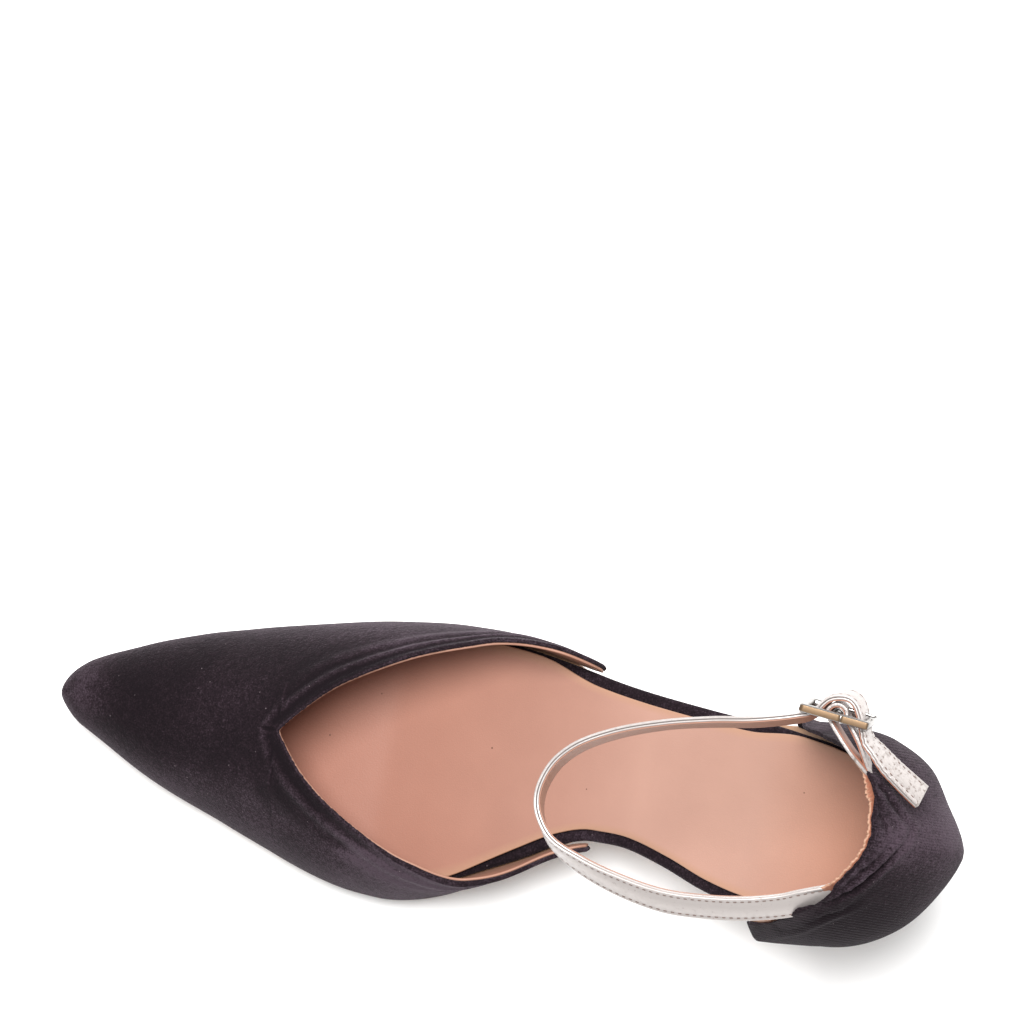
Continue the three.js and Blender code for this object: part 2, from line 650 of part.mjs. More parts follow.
function strapStops() {
  const stops = [];
  const seamSpan = seamLength / counterEdges.medial.distanceAt(counterReach.medial);
  const seamUp = wallMiddle('medial', seamShare, strapWidth * 0.42).up;
  for (const k of [-1, -0.5, 0]) {
    stops.push(wallMiddle('medial', seamShare + k * seamSpan, strapWidth * 0.42));
    stops[stops.length - 1].up = seamUp;
  }
  const seam = counterPoint('medial', seamShare, 1);
  const level = stops[2].at.z;
  const route = [];
  for (const row of loopRows) {
    const at = new THREE.Vector3(seam.x + strapReach * row.ahead, strapSpread * row.across, level);
    at.z += strapReach * row.above;
    route.push({ at, lean: row.lean });
  }
  for (const row of weaveRows) {
    const up = leaning(buckle.inward, buckleTilt + row.lean);
    route.push({ at: inBuckle(row.along * buckleLength, row.out * buckleLength, 0), up });
  }
  const leave = route[route.length - 1].at;
  for (const row of tailRows) {
    const away = new THREE.Vector3(-row.behind, row.inward, -row.below).multiplyScalar(tailLength);
    route.push({ at: leave.clone().add(away), lean: row.lean });
  }
  const spots = [...stops.map((stop) => stop.at), ...route.map((stop) => stop.at)];
  const curve = new THREE.CatmullRomCurve3(spots, false, 'centripetal');
  const segments = spots.length - 1;
  const stations = [...stops, ...route];
  const result = [];
  for (let i = 0; i < segments; i += 1) {
    const length = spots[i].distanceTo(spots[i + 1]);
    const pieces = Math.max(1, Math.round(length / 2.4));
    for (let k = 0; k < pieces + (i === segments - 1 ? 1 : 0); k += 1) {
      const t = (i + k / pieces) / segments;
      const along = curve.getTangent(t);
      const inside = new THREE.Vector3(along.y, -along.x, 0).normalize();
      const upAt = (index) => {
        if (stations[index].up) return stations[index].up.clone();
        return leaning(inside, stations[index].lean);
      };
      result.push({ at: curve.getPoint(t), up: upAt(i).lerp(upAt(i + 1), k / pieces).normalize() });
    }
  }
  return result;
}

// The stay: a loop from the lateral topline round the buckle's bar and back
function stayStops() {
  const base = wallMiddle('lateral', stayShare, stayWidth * 0.35);
  const radius = curlRadius + prongWire / 2 + clearance + stayThickness / 2;
  const legGap = (stayThickness + clearance) / 2;
  const toBar = buckle.centre.clone().sub(base.at).setZ(0).normalize();
  const across = new THREE.Vector3(toBar.y, -toBar.x, 0);
  if (across.dot(buckle.along) < 0) across.negate();
  const leg = (sign) => [
    base.at.clone().addScaledVector(toBar, -2).addScaledVector(across, sign * legGap),
    base.at.clone().addScaledVector(toBar, 2.5).addScaledVector(across, sign * legGap),
    base.at.clone().lerp(buckle.centre, 0.5).addScaledVector(across, sign * radius * 0.55 + 0.4)
      .add(new THREE.Vector3(0, 0, stayWidth * 0.25))];
  const spots = leg(1);
  for (let k = 0; k <= 6; k += 1) {
    const angle = Math.PI * k / 6;
    spots.push(inBuckle(radius * Math.cos(angle), radius * Math.sin(angle), 0));
  }
  spots.push(...leg(-1).reverse());
  const curve = new THREE.CatmullRomCurve3(spots, false, 'centripetal');
  const count = 44;
  const stops = [];
  for (let i = 0; i <= count; i += 1) {
    stops.push({ at: curve.getPointAt(i / count), up: buckle.up.clone() });
  }
  return stops;
}

function buckleFrame() {
  const [halfLength, halfHeight, corner] = [buckleLength / 2, buckleHeight / 2, buckleWire * 0.6];
  const shape = new THREE.Shape();
  shape.moveTo(-halfLength + corner, -halfHeight);
  shape.lineTo(halfLength - corner, -halfHeight);
  shape.lineTo(halfLength, -halfHeight + corner);
  shape.lineTo(halfLength, halfHeight - corner);
  shape.lineTo(halfLength - corner, halfHeight);
  shape.lineTo(-halfLength + corner, halfHeight);
  shape.lineTo(-halfLength, halfHeight - corner);
  shape.lineTo(-halfLength, -halfHeight + corner);
  shape.closePath();
  const plateShape = new THREE.ExtrudeGeometry(shape, { depth: buckleWire, bevelEnabled: false });
  plateShape.translate(0, 0, -buckleWire / 2);
  let frame = solid(placeInBuckle(plateShape));
  const windowLength = halfLength - buckleWire - barWidth / 2;
  for (const sign of [1, -1]) {
    const window = new THREE.BoxGeometry(windowLength, buckleHeight - 2 * buckleWire, buckleWire * 2);
    window.translate(sign * (barWidth + windowLength) / 2, 0, 0);
    frame = frame.subtract(solid(placeInBuckle(window)));
  }
  return fromSolid(frame);
}

// From the buckle's own axes (length, height, depth out of it) to the shoe
function placeInBuckle(geometry) {
  geometry.deleteAttribute('normal');
  geometry.deleteAttribute('uv');
  const merged = mergeVertices(geometry, 1e-4);
  const matrix = new THREE.Matrix4().makeBasis(buckle.along, buckle.up, buckle.out.clone());
  matrix.setPosition(buckle.centre);
  return facingOut(merged.applyMatrix4(matrix));
}

// The prong: a curl round the bar and a pin that lies on the rear rail
function buckleProng(extra) {
  const wire = prongWire / 2 + extra;
  const curl = new THREE.TorusGeometry(curlRadius, wire, 8, 18);
  curl.rotateX(Math.PI / 2);
  const pinOut = buckleWire / 2 + clearance + prongWire / 2;
  const pinEnd = -buckleLength / 2 - prongWire * 0.3;
  const pin = new THREE.CylinderGeometry(wire, wire, -pinEnd + extra, 10);
  pin.rotateZ(Math.PI / 2);
  pin.translate((pinEnd - extra) / 2, 0, pinOut);
  return solid(placeInBuckle(curl)).add(solid(placeInBuckle(pin)));
}

// Room in the counter for the strap's seam, open through the topline
function seamNotch(stops) {
  const raised = stops.map((stop) => ({ at: stop.at.clone().addScaledVector(stop.up, strapWidth / 2), up: stop.up }));
  return solid(ribbon(raised, 2 * (strapWidth + clearance), wallThickness * 3));
}

function addStrap() {
  const room = 2 * clearance;
  const strapLine = strapStops();
  const strap = solid(ribbon(strapLine, strapWidth, strapThickness));
  const stayLine = stayStops();
  const stay = solid(ribbon(stayLine, stayWidth, stayThickness));
  const stayRoom = solid(ribbon(stayLine, stayWidth + room, stayThickness + room));
  const prongRoom = buckleProng(clearance);
  const wall = solid(thicken(counterSheet(), wallThickness));
  const heldStops = strapLine.slice(0, 14);
  const pieces = wall.subtract(seamNotch(heldStops)).subtract(stayRoom).decompose();
  pieces.sort((a, b) => b.volume() - a.volume());
  add('counter', fromSolid(pieces[0]), velvet);
  add('ankle_strap', fromSolid(strap.subtract(prongRoom)), silver);
  add('buckle_stay', fromSolid(stay.subtract(prongRoom)), silver);
  add('buckle_frame', buckleFrame(), metal);
  add('buckle_prong', fromSolid(buckleProng(0)), metal);
}

const floorGap = topPieceThickness + clearance;

// A point of the heel's rounded tip, seen from above
function heelTip(angle) {
  const cos = Math.sign(Math.cos(angle)) * Math.abs(Math.cos(angle)) ** heelSquareness;
  return { cos, spot: new THREE.Vector2(heelSetForward + heelTipLength / 2 * cos, heelTipWidth / 2 * Math.sin(angle)) };
}

// The same place at the seat, just inside the sole's edge
function heelSeat(angle, cos) {
  const u = boardBack + heelInset + heelTopLength / 2 * (1 + cos);
  const sin = Math.sin(angle);
  const half = halfWidth(u, sin >= 0 ? 'medial' : 'lateral') - heelInset;
  return new THREE.Vector2(u, axisShift + half * Math.sign(sin) * Math.min(1, Math.abs(sin) * 1.5));
}

// The heel, from its tip up to the sole's underside, and the top piece under it
function addHeel() {
  const levels = 9;
  const around = 28;
  const sections = [];
  const worn = [[], []];
  for (let i = 0; i <= levels; i += 1) {
    const share = i / levels;
    const section = [];
    for (let j = 0; j < around; j += 1) {
      const angle = 2 * Math.PI * j / around;
      const { cos, spot } = heelTip(angle);
      spot.lerp(heelSeat(angle, cos), share ** heelFlare);
      const ceiling = treadHeight(spot.x) - clearance;
      section.push(toWorld(spot.x, spot.y, floorGap + (ceiling - floorGap) * share));
    }
    sections.push(section);
  }
  for (let j = 0; j < around; j += 1) {
    const { spot } = heelTip(2 * Math.PI * j / around);
    worn[0].push(toWorld(spot.x, spot.y, 0));
    worn[1].push(toWorld(spot.x, spot.y, topPieceThickness));
  }
  add('heel', loft(sections), velvet);
  add('top_piece', loft(worn), rubber);
}

addSole();
addVamp();
addHeel();
addStrap();

export default shoe;
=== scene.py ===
import bpy, math
import numpy as np
from mathutils import Vector, Matrix

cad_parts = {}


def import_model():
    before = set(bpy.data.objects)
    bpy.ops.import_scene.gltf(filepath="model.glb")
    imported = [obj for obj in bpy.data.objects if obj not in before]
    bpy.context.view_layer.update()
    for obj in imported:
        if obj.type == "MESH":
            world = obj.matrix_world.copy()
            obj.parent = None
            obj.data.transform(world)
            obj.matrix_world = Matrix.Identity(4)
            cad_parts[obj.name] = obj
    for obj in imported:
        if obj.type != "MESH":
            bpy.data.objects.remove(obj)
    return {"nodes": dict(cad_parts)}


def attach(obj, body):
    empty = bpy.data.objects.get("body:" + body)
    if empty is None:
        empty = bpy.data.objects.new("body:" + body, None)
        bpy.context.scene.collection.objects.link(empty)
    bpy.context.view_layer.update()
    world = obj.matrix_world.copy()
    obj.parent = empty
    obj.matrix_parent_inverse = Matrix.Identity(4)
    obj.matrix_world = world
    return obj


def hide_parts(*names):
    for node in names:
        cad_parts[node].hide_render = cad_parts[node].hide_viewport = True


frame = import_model()
dice = np.random.default_rng(7)
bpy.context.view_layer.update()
print("frame loaded:", ", ".join(sorted(frame["nodes"])))

last = {
    "length": 264.0, "ball": 78.0, "heel": 50.0, "toe": 8.0, "back": 7.5,
    "heelRadius": 30.0, "toeRadius": 7.0, "shift": 1.4, "forward": 33.0,
    "lift": 2.9, "board": 3.0, "sock": 1.2, "gap": 0.3, "wall": 1.9, "instep": 60.0, "toeFrom": 0.92, "toeTo": 0.99,
    # half widths: share of the length, big-toe side, little-toe side (shares of the ball width)
    "print": [(0.130, 0.298, 0.275), (0.177, 0.315, 0.298), (0.223, 0.312, 0.318), (0.270, 0.280, 0.326),
              (0.316, 0.228, 0.339), (0.362, 0.190, 0.355), (0.400, 0.188, 0.373), (0.438, 0.222, 0.397),
              (0.477, 0.292, 0.420), (0.515, 0.354, 0.438), (0.554, 0.415, 0.446), (0.592, 0.456, 0.444),
              (0.631, 0.474, 0.431), (0.677, 0.469, 0.408), (0.731, 0.435, 0.369), (0.788, 0.372, 0.324),
              (0.846, 0.295, 0.272), (0.904, 0.204, 0.205), (0.954, 0.112, 0.130), (1.000, 0.030, 0.052)],
    "tread": [(0.000, 1.000), (0.080, 0.970), (0.155, 0.900), (0.230, 0.785), (0.310, 0.620), (0.385, 0.440),
              (0.460, 0.272), (0.535, 0.130), (0.595, 0.045), (0.635, 0.008), (0.655, 0.000), (0.745, 0.000)],
    "spring": [(0.745, 0.00), (0.800, 0.06), (0.860, 0.26), (0.930, 0.62), (1.000, 1.00)],
    "crown": [(0.400, 1.000), (0.450, 0.950), (0.500, 0.900), (0.562, 0.830), (0.631, 0.730), (0.704, 0.645),
              (0.765, 0.565), (0.808, 0.500), (0.865, 0.405), (0.923, 0.298), (0.962, 0.208), (0.984, 0.145),
              (0.996, 0.095)],
}
sides = {"medial": 1.0, "lateral": -1.0}


def smooth(value, low, high):
    t = np.clip((value - low) / (high - low), 0.0, 1.0)
    return t * t * (3 - 2 * t)


def bell(value, middle, width):
    return np.exp(-((value - middle) / width) ** 2)


def unit(vector):
    return vector / (np.linalg.norm(vector) or 1)


# a table read smoothly between its rows
def follow(rows, at, column=1):
    if at <= rows[0][0]:
        return rows[0][column]
    if at >= rows[-1][0]:
        return rows[-1][column]
    end = len(rows) - 1
    row = 0
    while rows[row + 1][0] < at:
        row += 1

    def slope(index):
        before, after, here = rows[max(index - 1, 0)], rows[min(index + 1, end)], rows[index]
        if 0 < index < end and (here[column] - before[column]) * (after[column] - here[column]) <= 0:
            return 0.0
        return (after[column] - before[column]) / (after[0] - before[0])

    low, high = rows[row], rows[row + 1]
    span = high[0] - low[0]
    t = (at - low[0]) / span
    fall = 1 + t * t * (2 * t - 3)
    return (low[column] * fall + high[column] * (1 - fall)
            + span * (slope(row) * t * (1 - t) ** 2 - slope(row + 1) * t * t * (1 - t)))


def halfWidth(u, side):
    width = last["ball"] * follow(last["print"], u / last["length"], column=1 if side == "medial" else 2)
    cap = last["heelRadius"] * (1 if side == "medial" else 1.25)
    intoHeel = (last["back"] + cap - u) / cap
    intoToe = (u - (last["length"] - last["toeRadius"])) / last["toeRadius"]
    if intoHeel > 0:
        width *= math.sqrt(max(0.0, 1 - intoHeel ** 2))
    if intoToe > 0:
        width *= math.sqrt(max(0.0, 1 - intoToe ** 2))
    return width


def treadHeight(u):
    at = u / last["length"]
    return last["heel"] * follow(last["tread"], at) + last["toe"] * follow(last["spring"], at)


# one side of the board's outline from heel to toe, grown outwards
def outline(side, grow, count):
    sign = sides[side]
    raw = []
    for i in range(count + 1):
        u = last["back"] + (last["length"] - last["back"]) * (1 - math.cos(math.pi * i / count)) / 2
        raw.append((u, last["shift"] + sign * halfWidth(u, side)))
    raw = np.array(raw)
    along = np.empty_like(raw)
    along[1:-1] = raw[2:] - raw[:-2]
    along[0], along[-1] = (0, sign), (0, -sign)
    along /= np.linalg.norm(along, axis=1)[:, None]
    out = np.stack([-along[:, 1], along[:, 0]], axis=1) * sign
    return raw + out * np.array([grow(u, side) for u in raw[:, 0]])[:, None]


class Path:
    def __init__(self, points):
        self.points = np.asarray(points, float)
        steps = np.linalg.norm(np.diff(self.points, axis=0), axis=1)
        self.marks = np.concatenate([[0], np.cumsum(steps)])
        self.length = self.marks[-1]

    def at(self, distance):
        return np.array([np.interp(distance, self.marks, self.points[:, k]) for k in range(self.points.shape[1])])

    def reach(self, u):
        xs = self.points[:, 0]
        i = 1
        while i < len(xs) - 1 and xs[i] < u:
            i += 1
        step = xs[i] - xs[i - 1] or 1
        return self.marks[i - 1] + (u - xs[i - 1]) / step * (self.marks[i] - self.marks[i - 1])


shellGrow = last["gap"] + last["wall"]
edgePaths = {side: Path(outline(side, lambda u, side: shellGrow, 600)) for side in sides}


def gridFaces(rows, columns, start=0, flip=False, closed=False):
    faces = []
    for i in range(rows - 1):
        for j in range(columns if closed else columns - 1):
            k = (j + 1) % columns
            quad = (start + i * columns + j, start + i * columns + k,
                    start + (i + 1) * columns + k, start + (i + 1) * columns + j)
            faces.append(quad[::-1] if flip else quad)
    return faces


# a tube through closed rings of points, with both ends filled
def tube(rows, flip=False, caps=True):
    size = len(rows[0])
    faces = gridFaces(len(rows), size, flip=flip, closed=True)
    if caps:
        ends = [tuple(range(size - 1, -1, -1)), tuple((len(rows) - 1) * size + j for j in range(size))]
        faces += [end[::-1] if flip else end for end in ends]
    return np.concatenate([np.array(row) for row in rows]), faces


# several closed bodies as one mesh
def together(bodies):
    points, faces = [], []
    for spots, quads in bodies:
        faces += [tuple(v + len(points) for v in quad) for quad in quads]
        points += list(spots)
    return points, faces


def weld(points, faces, tolerance=1e-3):
    keys, order, remap = {}, [], np.empty(len(points), int)
    for i, key in enumerate(map(tuple, np.round(np.asarray(points) / tolerance).astype(int))):
        if key not in keys:
            keys[key] = len(order)
            order.append(i)
        remap[i] = keys[key]
    clean = []
    for face in faces:
        loop = []
        for v in remap[list(face)]:
            if not loop or loop[-1] != v:
                loop.append(int(v))
        if len(loop) > 1 and loop[0] == loop[-1]:
            loop.pop()
        if len(set(loop)) == len(loop) > 2:
            clean.append(tuple(loop))
    return np.asarray(points)[order], clean, order


def normalsOf(points, faces):
    normals = np.zeros_like(points)
    for face in faces:
        a, b, c = points[face[0]], points[face[1]], points[face[2]]
        normal = np.cross(b - a, c - a)
        if len(face) == 4:
            normal = normal + np.cross(c - a, points[face[3]] - a)
        for v in face:
            normals[v] += normal
    size = np.linalg.norm(normals, axis=1)[:, None]
    return normals / np.where(size == 0, 1, size)


# a sheet given two faces and a rounded rim all round; lift raises the outer face, fray roughens the rim
def layered(points, faces, outer, inner, lift=None, rimSteps=6, fray=0.0):
    normals = normalsOf(points, faces)
    count = len(points)
    lift = np.zeros(count) if lift is None else lift
    outer, inner = np.zeros(count) + outer, np.zeros(count) + inner
    outside = points + normals * (lift - outer)[:, None]
    inside = points - normals * inner[:, None]
    allFaces = list(faces) + [tuple(v + count for v in face[::-1]) for face in faces]
    directed = {(a, b) for face in faces for a, b in zip(face, face[1:] + face[:1])}
    border = {a: b for a, b in directed if (b, a) not in directed}
    behind = {b: a for a, b in border.items()}
    rimStart = {}
    extra = []
    for v in sorted(border):
        away = unit(np.cross(unit(points[border[v]] - points[behind[v]]), normals[v]))
        rimStart[v] = 2 * count + len(extra)
        radius = (inner[v] - outer[v]) / 2
        middle = points[v] - normals[v] * (outer[v] + inner[v]) / 2
        for k in range(1, rimSteps):
            turn = math.pi * k / rimSteps
            fade = 0.5 + 0.5 * math.cos(turn)
            rough = fray * (dice.random() - 0.4) * math.sin(turn)
            extra.append(middle + normals[v] * (radius * math.cos(turn) + lift[v] * fade)
                         + away * (radius * math.sin(turn) + rough))
    for a, b in border.items():
        rowA, rowB = ([v] + [rimStart[v] + k for k in range(rimSteps - 1)] + [v + count] for v in (a, b))
        for k in range(rimSteps):
            allFaces.append((rowB[k], rowA[k], rowA[k + 1], rowB[k + 1]))
    return np.concatenate([outside, inside, np.array(extra)]), allFaces


# a value of each point of a sheet, for the shell that layered makes of it
def overShell(data, size):
    both = np.tile(data, 2)
    return np.concatenate([both, np.full(size - len(both), float(np.median(data)))])


def addPiece(name, points, faces, material, slotName, replaced=(), values=None):
    mesh = bpy.data.meshes.new(name)
    placed = np.asarray(points, float) * 0.001
    mesh.from_pydata([tuple(p) for p in placed], [], faces)
    mesh.update()
    mesh.shade_smooth()
    for label, data in (values or {}).items():
        attribute = mesh.attributes.new(label, "FLOAT", "POINT")
        attribute.data.foreach_set("value", np.asarray(data, np.float32))
    mesh.materials.append(material)
    piece = bpy.data.objects.new(name, mesh)
    bpy.context.scene.collection.objects.link(piece)
    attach(piece, "root")
    if replaced:
        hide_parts(*replaced)


def world(u, y, z):
    return np.array([u - last["forward"], y, z])


def aboveTread(u, y, height):
    return world(u, y, treadHeight(u) + height)



# the directions up and out of a strip that runs along, square to its run
def squared(along, up):
    along = unit(along)
    up = unit(up - along * np.dot(up, along))
    return up, np.cross(up, along)


# closed tube of any section along stops of (place, up direction)
def sweep(stops, section, caps=True):
    places = np.array([s[0] for s in stops])
    rows = []
    for i, (place, up) in enumerate(stops):
        up, out = squared(places[min(i + 1, len(stops) - 1)] - places[max(i - 1, 0)], up)
        shape = section(i / (len(stops) - 1)) if callable(section) else section
        rows.append([place + up * a + out * b for a, b in shape])
    return tube(rows, True, caps)


# rounded rectangle from -w/2..w/2 by low..high, starting at its top
def bandSection(width, low, high, radius, steps=4):
    corners = [(width / 2 - radius, high - radius, 0), (width / 2 - radius, low + radius, -90),
               (-width / 2 + radius, low + radius, -180), (-width / 2 + radius, high - radius, -270)]
    shape = []
    for a, b, start in corners:
        for k in range(steps + 1):
            turn = math.radians(90 + start - 90 * k / steps)
            shape.append((a + radius * math.cos(turn), b + radius * math.sin(turn)))
    return shape


# a material's nodes, made and joined by the names of their sockets
class Finish:
    def __init__(self, name):
        self.material = bpy.data.materials.new(name)
        self.material.use_nodes = True
        self.tree = self.material.node_tree
        self.place = self.node("ShaderNodeTexCoord").outputs["Object"]

    def join(self, socket, value):
        if hasattr(value, "node"):
            self.tree.links.new(value, socket)
        else:
            socket.default_value = value

    def fill(self, made, inputs):
        for label, value in inputs.items():
            self.join(made.inputs[label.replace("_", " ")], value)
        return made

    def node(self, kind, **inputs):
        return self.fill(self.tree.nodes.new(kind), inputs)

    def noise(self, scale, detail, rough):
        return self.node("ShaderNodeTexNoise", Vector=self.place, Scale=scale, Detail=detail,
                         Roughness=rough).outputs["Fac"]

    def cells(self, scale, kind="F1"):
        made = self.node("ShaderNodeTexVoronoi", Vector=self.place, Scale=scale)
        made.feature = kind
        return made.outputs["Distance"]

    def attribute(self, name):
        made = self.node("ShaderNodeAttribute")
        made.attribute_name = name
        return made.outputs["Fac"]

    def calc(self, kind, *values):
        made = self.node("ShaderNodeMath")
        made.operation = kind
        for k, value in enumerate(values):
            self.join(made.inputs[k], value)
        return made.outputs[0]

    def ramp(self, source, *stops):
        made = self.node("ShaderNodeValToRGB", Fac=source)
        band = made.color_ramp
        while len(band.elements) < len(stops):
            band.elements.new(0.5)
        for element, (at, colour) in zip(band.elements, stops):
            element.position = at
            element.color = (*colour, 1)
        return made.outputs["Color"]

    def blend(self, share, low, high, kind="MIX"):
        made = self.node("ShaderNodeMix")
        made.data_type, made.blend_type = "RGBA", kind
        for k, value in zip((0, 6, 7), (share, low, high)):
            self.join(made.inputs[k], (*value, 1) if isinstance(value, tuple) else value)
        return made.outputs[2]

    # bumps over one another, each as its height, strength and distance
    def bumps(self, *rows):
        under = {}
        for height, strength, distance in rows:
            made = self.node("ShaderNodeBump", Height=height, Strength=strength, Distance=distance, **under)
            under = {"Normal": made.outputs["Normal"]}
        return under["Normal"]

    # the shader's own sockets set or joined
    def finished(self, **inputs):
        self.fill(self.tree.nodes["Principled BSDF"], inputs)
        return self.material


paleness = 0.56


# a colour as it looks under the softbox, less the light that the pale floor needs to clip
def linear(r, g, b):
    return tuple(paleness * (v / 255 / 12.92 if v <= 10 else ((v / 255 + 0.055) / 1.055) ** 2.4)
                 for v in (r, g, b))


velvetLook = {
    "deep": linear(24, 16, 21), "body": linear(40, 29, 35), "nap": linear(84, 70, 80), "lint": linear(150, 136, 140),
    "sheen": 0.2, "sheenRibbed": 0.12, "sheenRoughness": 0.35, "sheenTint": (*linear(226, 208, 222), 1),
    # pile, tufts and brushed patches: noise (scale, detail, roughness), share of the tone, bump and its depth
    "layers": [((2100.0, 2.0, 0.65), 0.85, 0.6, 0.0004), ((620.0, 3.0, 0.6), 0.35, 0.45, 0.0006),
               ((46.0, 3.0, 0.5), 0.42, 0.0, 0.0)],
    "start": -0.14, "ribShare": 0.06, "ribPitch": 0.00068, "lintScale": 240.0, "lintSize": 0.045, "lintShare": 0.5,
}


def makeVelvet(name, ribs):
    look = Finish(name)
    mixed, bumps = velvetLook["start"], []
    for noise, share, strength, depth in velvetLook["layers"]:
        layer = look.noise(*noise)
        mixed = look.calc("MULTIPLY_ADD", layer, share, mixed)
        if strength:
            bumps.append((layer, strength, depth))
    if ribs:
        wave = look.node("ShaderNodeTexWave", Vector=look.place, Scale=math.pi / 10 / velvetLook["ribPitch"],
                         Distortion=1.1, Detail=2.0, Detail_Scale=0.25)
        wave.bands_direction = "Y"
        mixed = look.calc("MULTIPLY_ADD", wave.outputs["Fac"], velvetLook["ribShare"], mixed)
        mixed = look.calc("SUBTRACT", mixed, velvetLook["ribShare"] / 2)
        bumps.append((wave.outputs["Fac"], 0.4, 0.0002))
    # painted light and shade: each shell's points carry a share that moves the tone towards the pale nap colour where
    # painted sheen and highlights fall, and towards the deep colour where painted shade falls
    mixed = look.calc("ADD", mixed, look.attribute("paintedLight"))
    tone = look.ramp(mixed, (0.50, velvetLook["deep"]), (0.70, velvetLook["body"]), (1.02, velvetLook["nap"]))
    lint = look.calc("LESS_THAN", look.cells(velvetLook["lintScale"]), velvetLook["lintSize"])
    tone = look.blend(look.calc("MULTIPLY", lint, velvetLook["lintShare"]), tone, velvetLook["lint"])
    return look.finished(
        Base_Color=tone, Roughness=0.95, Specular_IOR_Level=0.1, Normal=look.bumps(*bumps),
        Sheen_Weight=velvetLook["sheenRibbed" if ribs else "sheen"], Sheen_Roughness=velvetLook["sheenRoughness"],
        Sheen_Tint=velvetLook["sheenTint"])


# the tones run from the heel (0), which lies "behind" the origin, to the toe (1) over the "span", in metres; they are
# painted shade, darker and more orange deep in the heel cup and towards the toe, where shade falls
nudeLook = {
    "sock": [(0.03, linear(172, 104, 76)), (0.085, linear(190, 134, 108)), (0.20, linear(200, 156, 138)),
             (0.33, linear(206, 160, 142)), (0.42, linear(194, 145, 127)), (0.88, linear(182, 114, 90))],
    "lining": [(0.02, linear(176, 104, 76)), (0.14, linear(196, 146, 124))], "edge": linear(198, 152, 126),
    "speck": linear(96, 62, 50), "rough": 0.5, "behind": 0.025, "span": 0.258, "speckShare": 0.8,
    "cloud": (55.0, 3.0, 0.5), "few": (60.0, 1.0, 0.5), "pores": (2300.0, 2.0, 0.6), "speckScale": 125.0,
}


def makeNude(name, grain, shadedTones):
    look = Finish(name)
    spot = look.node("ShaderNodeSeparateXYZ", Vector=look.place)
    # painted shade along the length, from the tone table
    tone = look.ramp(look.calc("MULTIPLY_ADD", spot.outputs["X"], 1 / nudeLook["span"],
                               nudeLook["behind"] / nudeLook["span"]), *nudeLook[shadedTones])
    shade = look.ramp(look.noise(*nudeLook["cloud"]), (0.3, (0.93, 0.92, 0.92)), (0.7, (1.0, 1.0, 1.0)))
    tone = look.blend(1.0, tone, shade, "MULTIPLY")
    reach = look.calc("MULTIPLY_ADD", look.noise(*nudeLook["few"]), 0.11, -0.032)
    pin = look.calc("LESS_THAN", look.cells(nudeLook["speckScale"]), reach)
    tone = look.blend(look.calc("MULTIPLY", pin, nudeLook["speckShare"]), tone, nudeLook["speck"])
    tone = look.blend(look.attribute("edge"), tone, nudeLook["edge"])
    return look.finished(Base_Color=tone, Roughness=nudeLook["rough"], Specular_IOR_Level=0.3,
                         Normal=look.bumps((look.noise(*nudeLook["pores"]), grain, 0.00015)))


silverLook = {"foil": linear(222, 213, 209), "crack": linear(166, 152, 145), "bare": linear(186, 150, 130),
              "metallic": 0.5, "rough": 0.36, "creases": (900.0, 4.0, 0.66), "wear": (150.0, 5.0, 0.7), "cells": 900.0}


# foil over leather: crackle from a little (0) to much (1)
def makeSilver(name, crackle):
    look = Finish(name)
    creases = look.noise(*silverLook["creases"])
    low = 0.26 + 0.09 * crackle
    tone = look.ramp(creases, (low, silverLook["crack"]), (low + 0.1, silverLook["foil"]))
    worn = look.ramp(look.noise(*silverLook["wear"]), (0.71 - 0.02 * crackle, (0, 0, 0)), (0.76, (1, 1, 1)))
    bump = look.bumps((look.cells(silverLook["cells"], "DISTANCE_TO_EDGE"), 0.1 + 0.5 * crackle, 0.0002),
                      (creases, 0.2 + 0.4 * crackle, 0.0002))
    return look.finished(Base_Color=look.blend(worn, tone, silverLook["bare"]), Metallic=silverLook["metallic"],
                         Roughness=look.ramp(creases, (0.3, (0.55,) * 3), (0.6, (silverLook["rough"],) * 3)),
                         Normal=bump)


metalLook = {"wear": (900.0, 3.0, 0.6), "darker": 0.8, "rougher": 1.5}


def makeMetal(name, colour, rough):
    look = Finish(name)
    wear = look.noise(*metalLook["wear"])
    worn, dull = tuple(c * metalLook["darker"] for c in colour), rough * metalLook["rougher"]
    return look.finished(Base_Color=look.ramp(wear, (0.3, worn), (0.62, colour)), Metallic=1.0,
                         Roughness=look.ramp(wear, (0.35, (dull,) * 3), (0.7, (rough,) * 3)))


def makePlain(name, deep, pale, rough, scale, bumpSize):
    look = Finish(name)
    grain = look.noise(scale, 4.0, 0.6)
    return look.finished(Base_Color=look.ramp(grain, (0.35, linear(*deep)), (0.7, linear(*pale))), Roughness=rough,
                         Normal=look.bumps((grain, 0.3, bumpSize)))


velvetPlain = makeVelvet("velvetPlain", ribs=False)
velvetRibbed = makeVelvet("velvetRibbed", ribs=True)
sockNude = makeNude("sockNude", grain=0.3, shadedTones="sock")
liningNude = makeNude("liningNude", grain=0.35, shadedTones="lining")
strapSilver = makeSilver("strapSilver", crackle=0.0)
tailSilver = makeSilver("tailSilver", crackle=1.0)
buckleGold = makeMetal("buckleGold", linear(176, 146, 116), rough=0.34)
buckleSilver = makeMetal("buckleSilver", linear(200, 196, 193), rough=0.24)
tipRubber = makePlain("tipRubber", (22, 20, 21), (34, 31, 32), rough=0.7, scale=900.0, bumpSize=0.0003)
soleTan = makePlain("soleTan", (176, 134, 104), (196, 154, 122), rough=0.45, scale=260.0, bumpSize=0.0002)
stitchThread = makePlain("stitchThread", (120, 98, 90), (150, 130, 122), rough=0.8, scale=4000.0, bumpSize=0.0001)
print("finishes made")

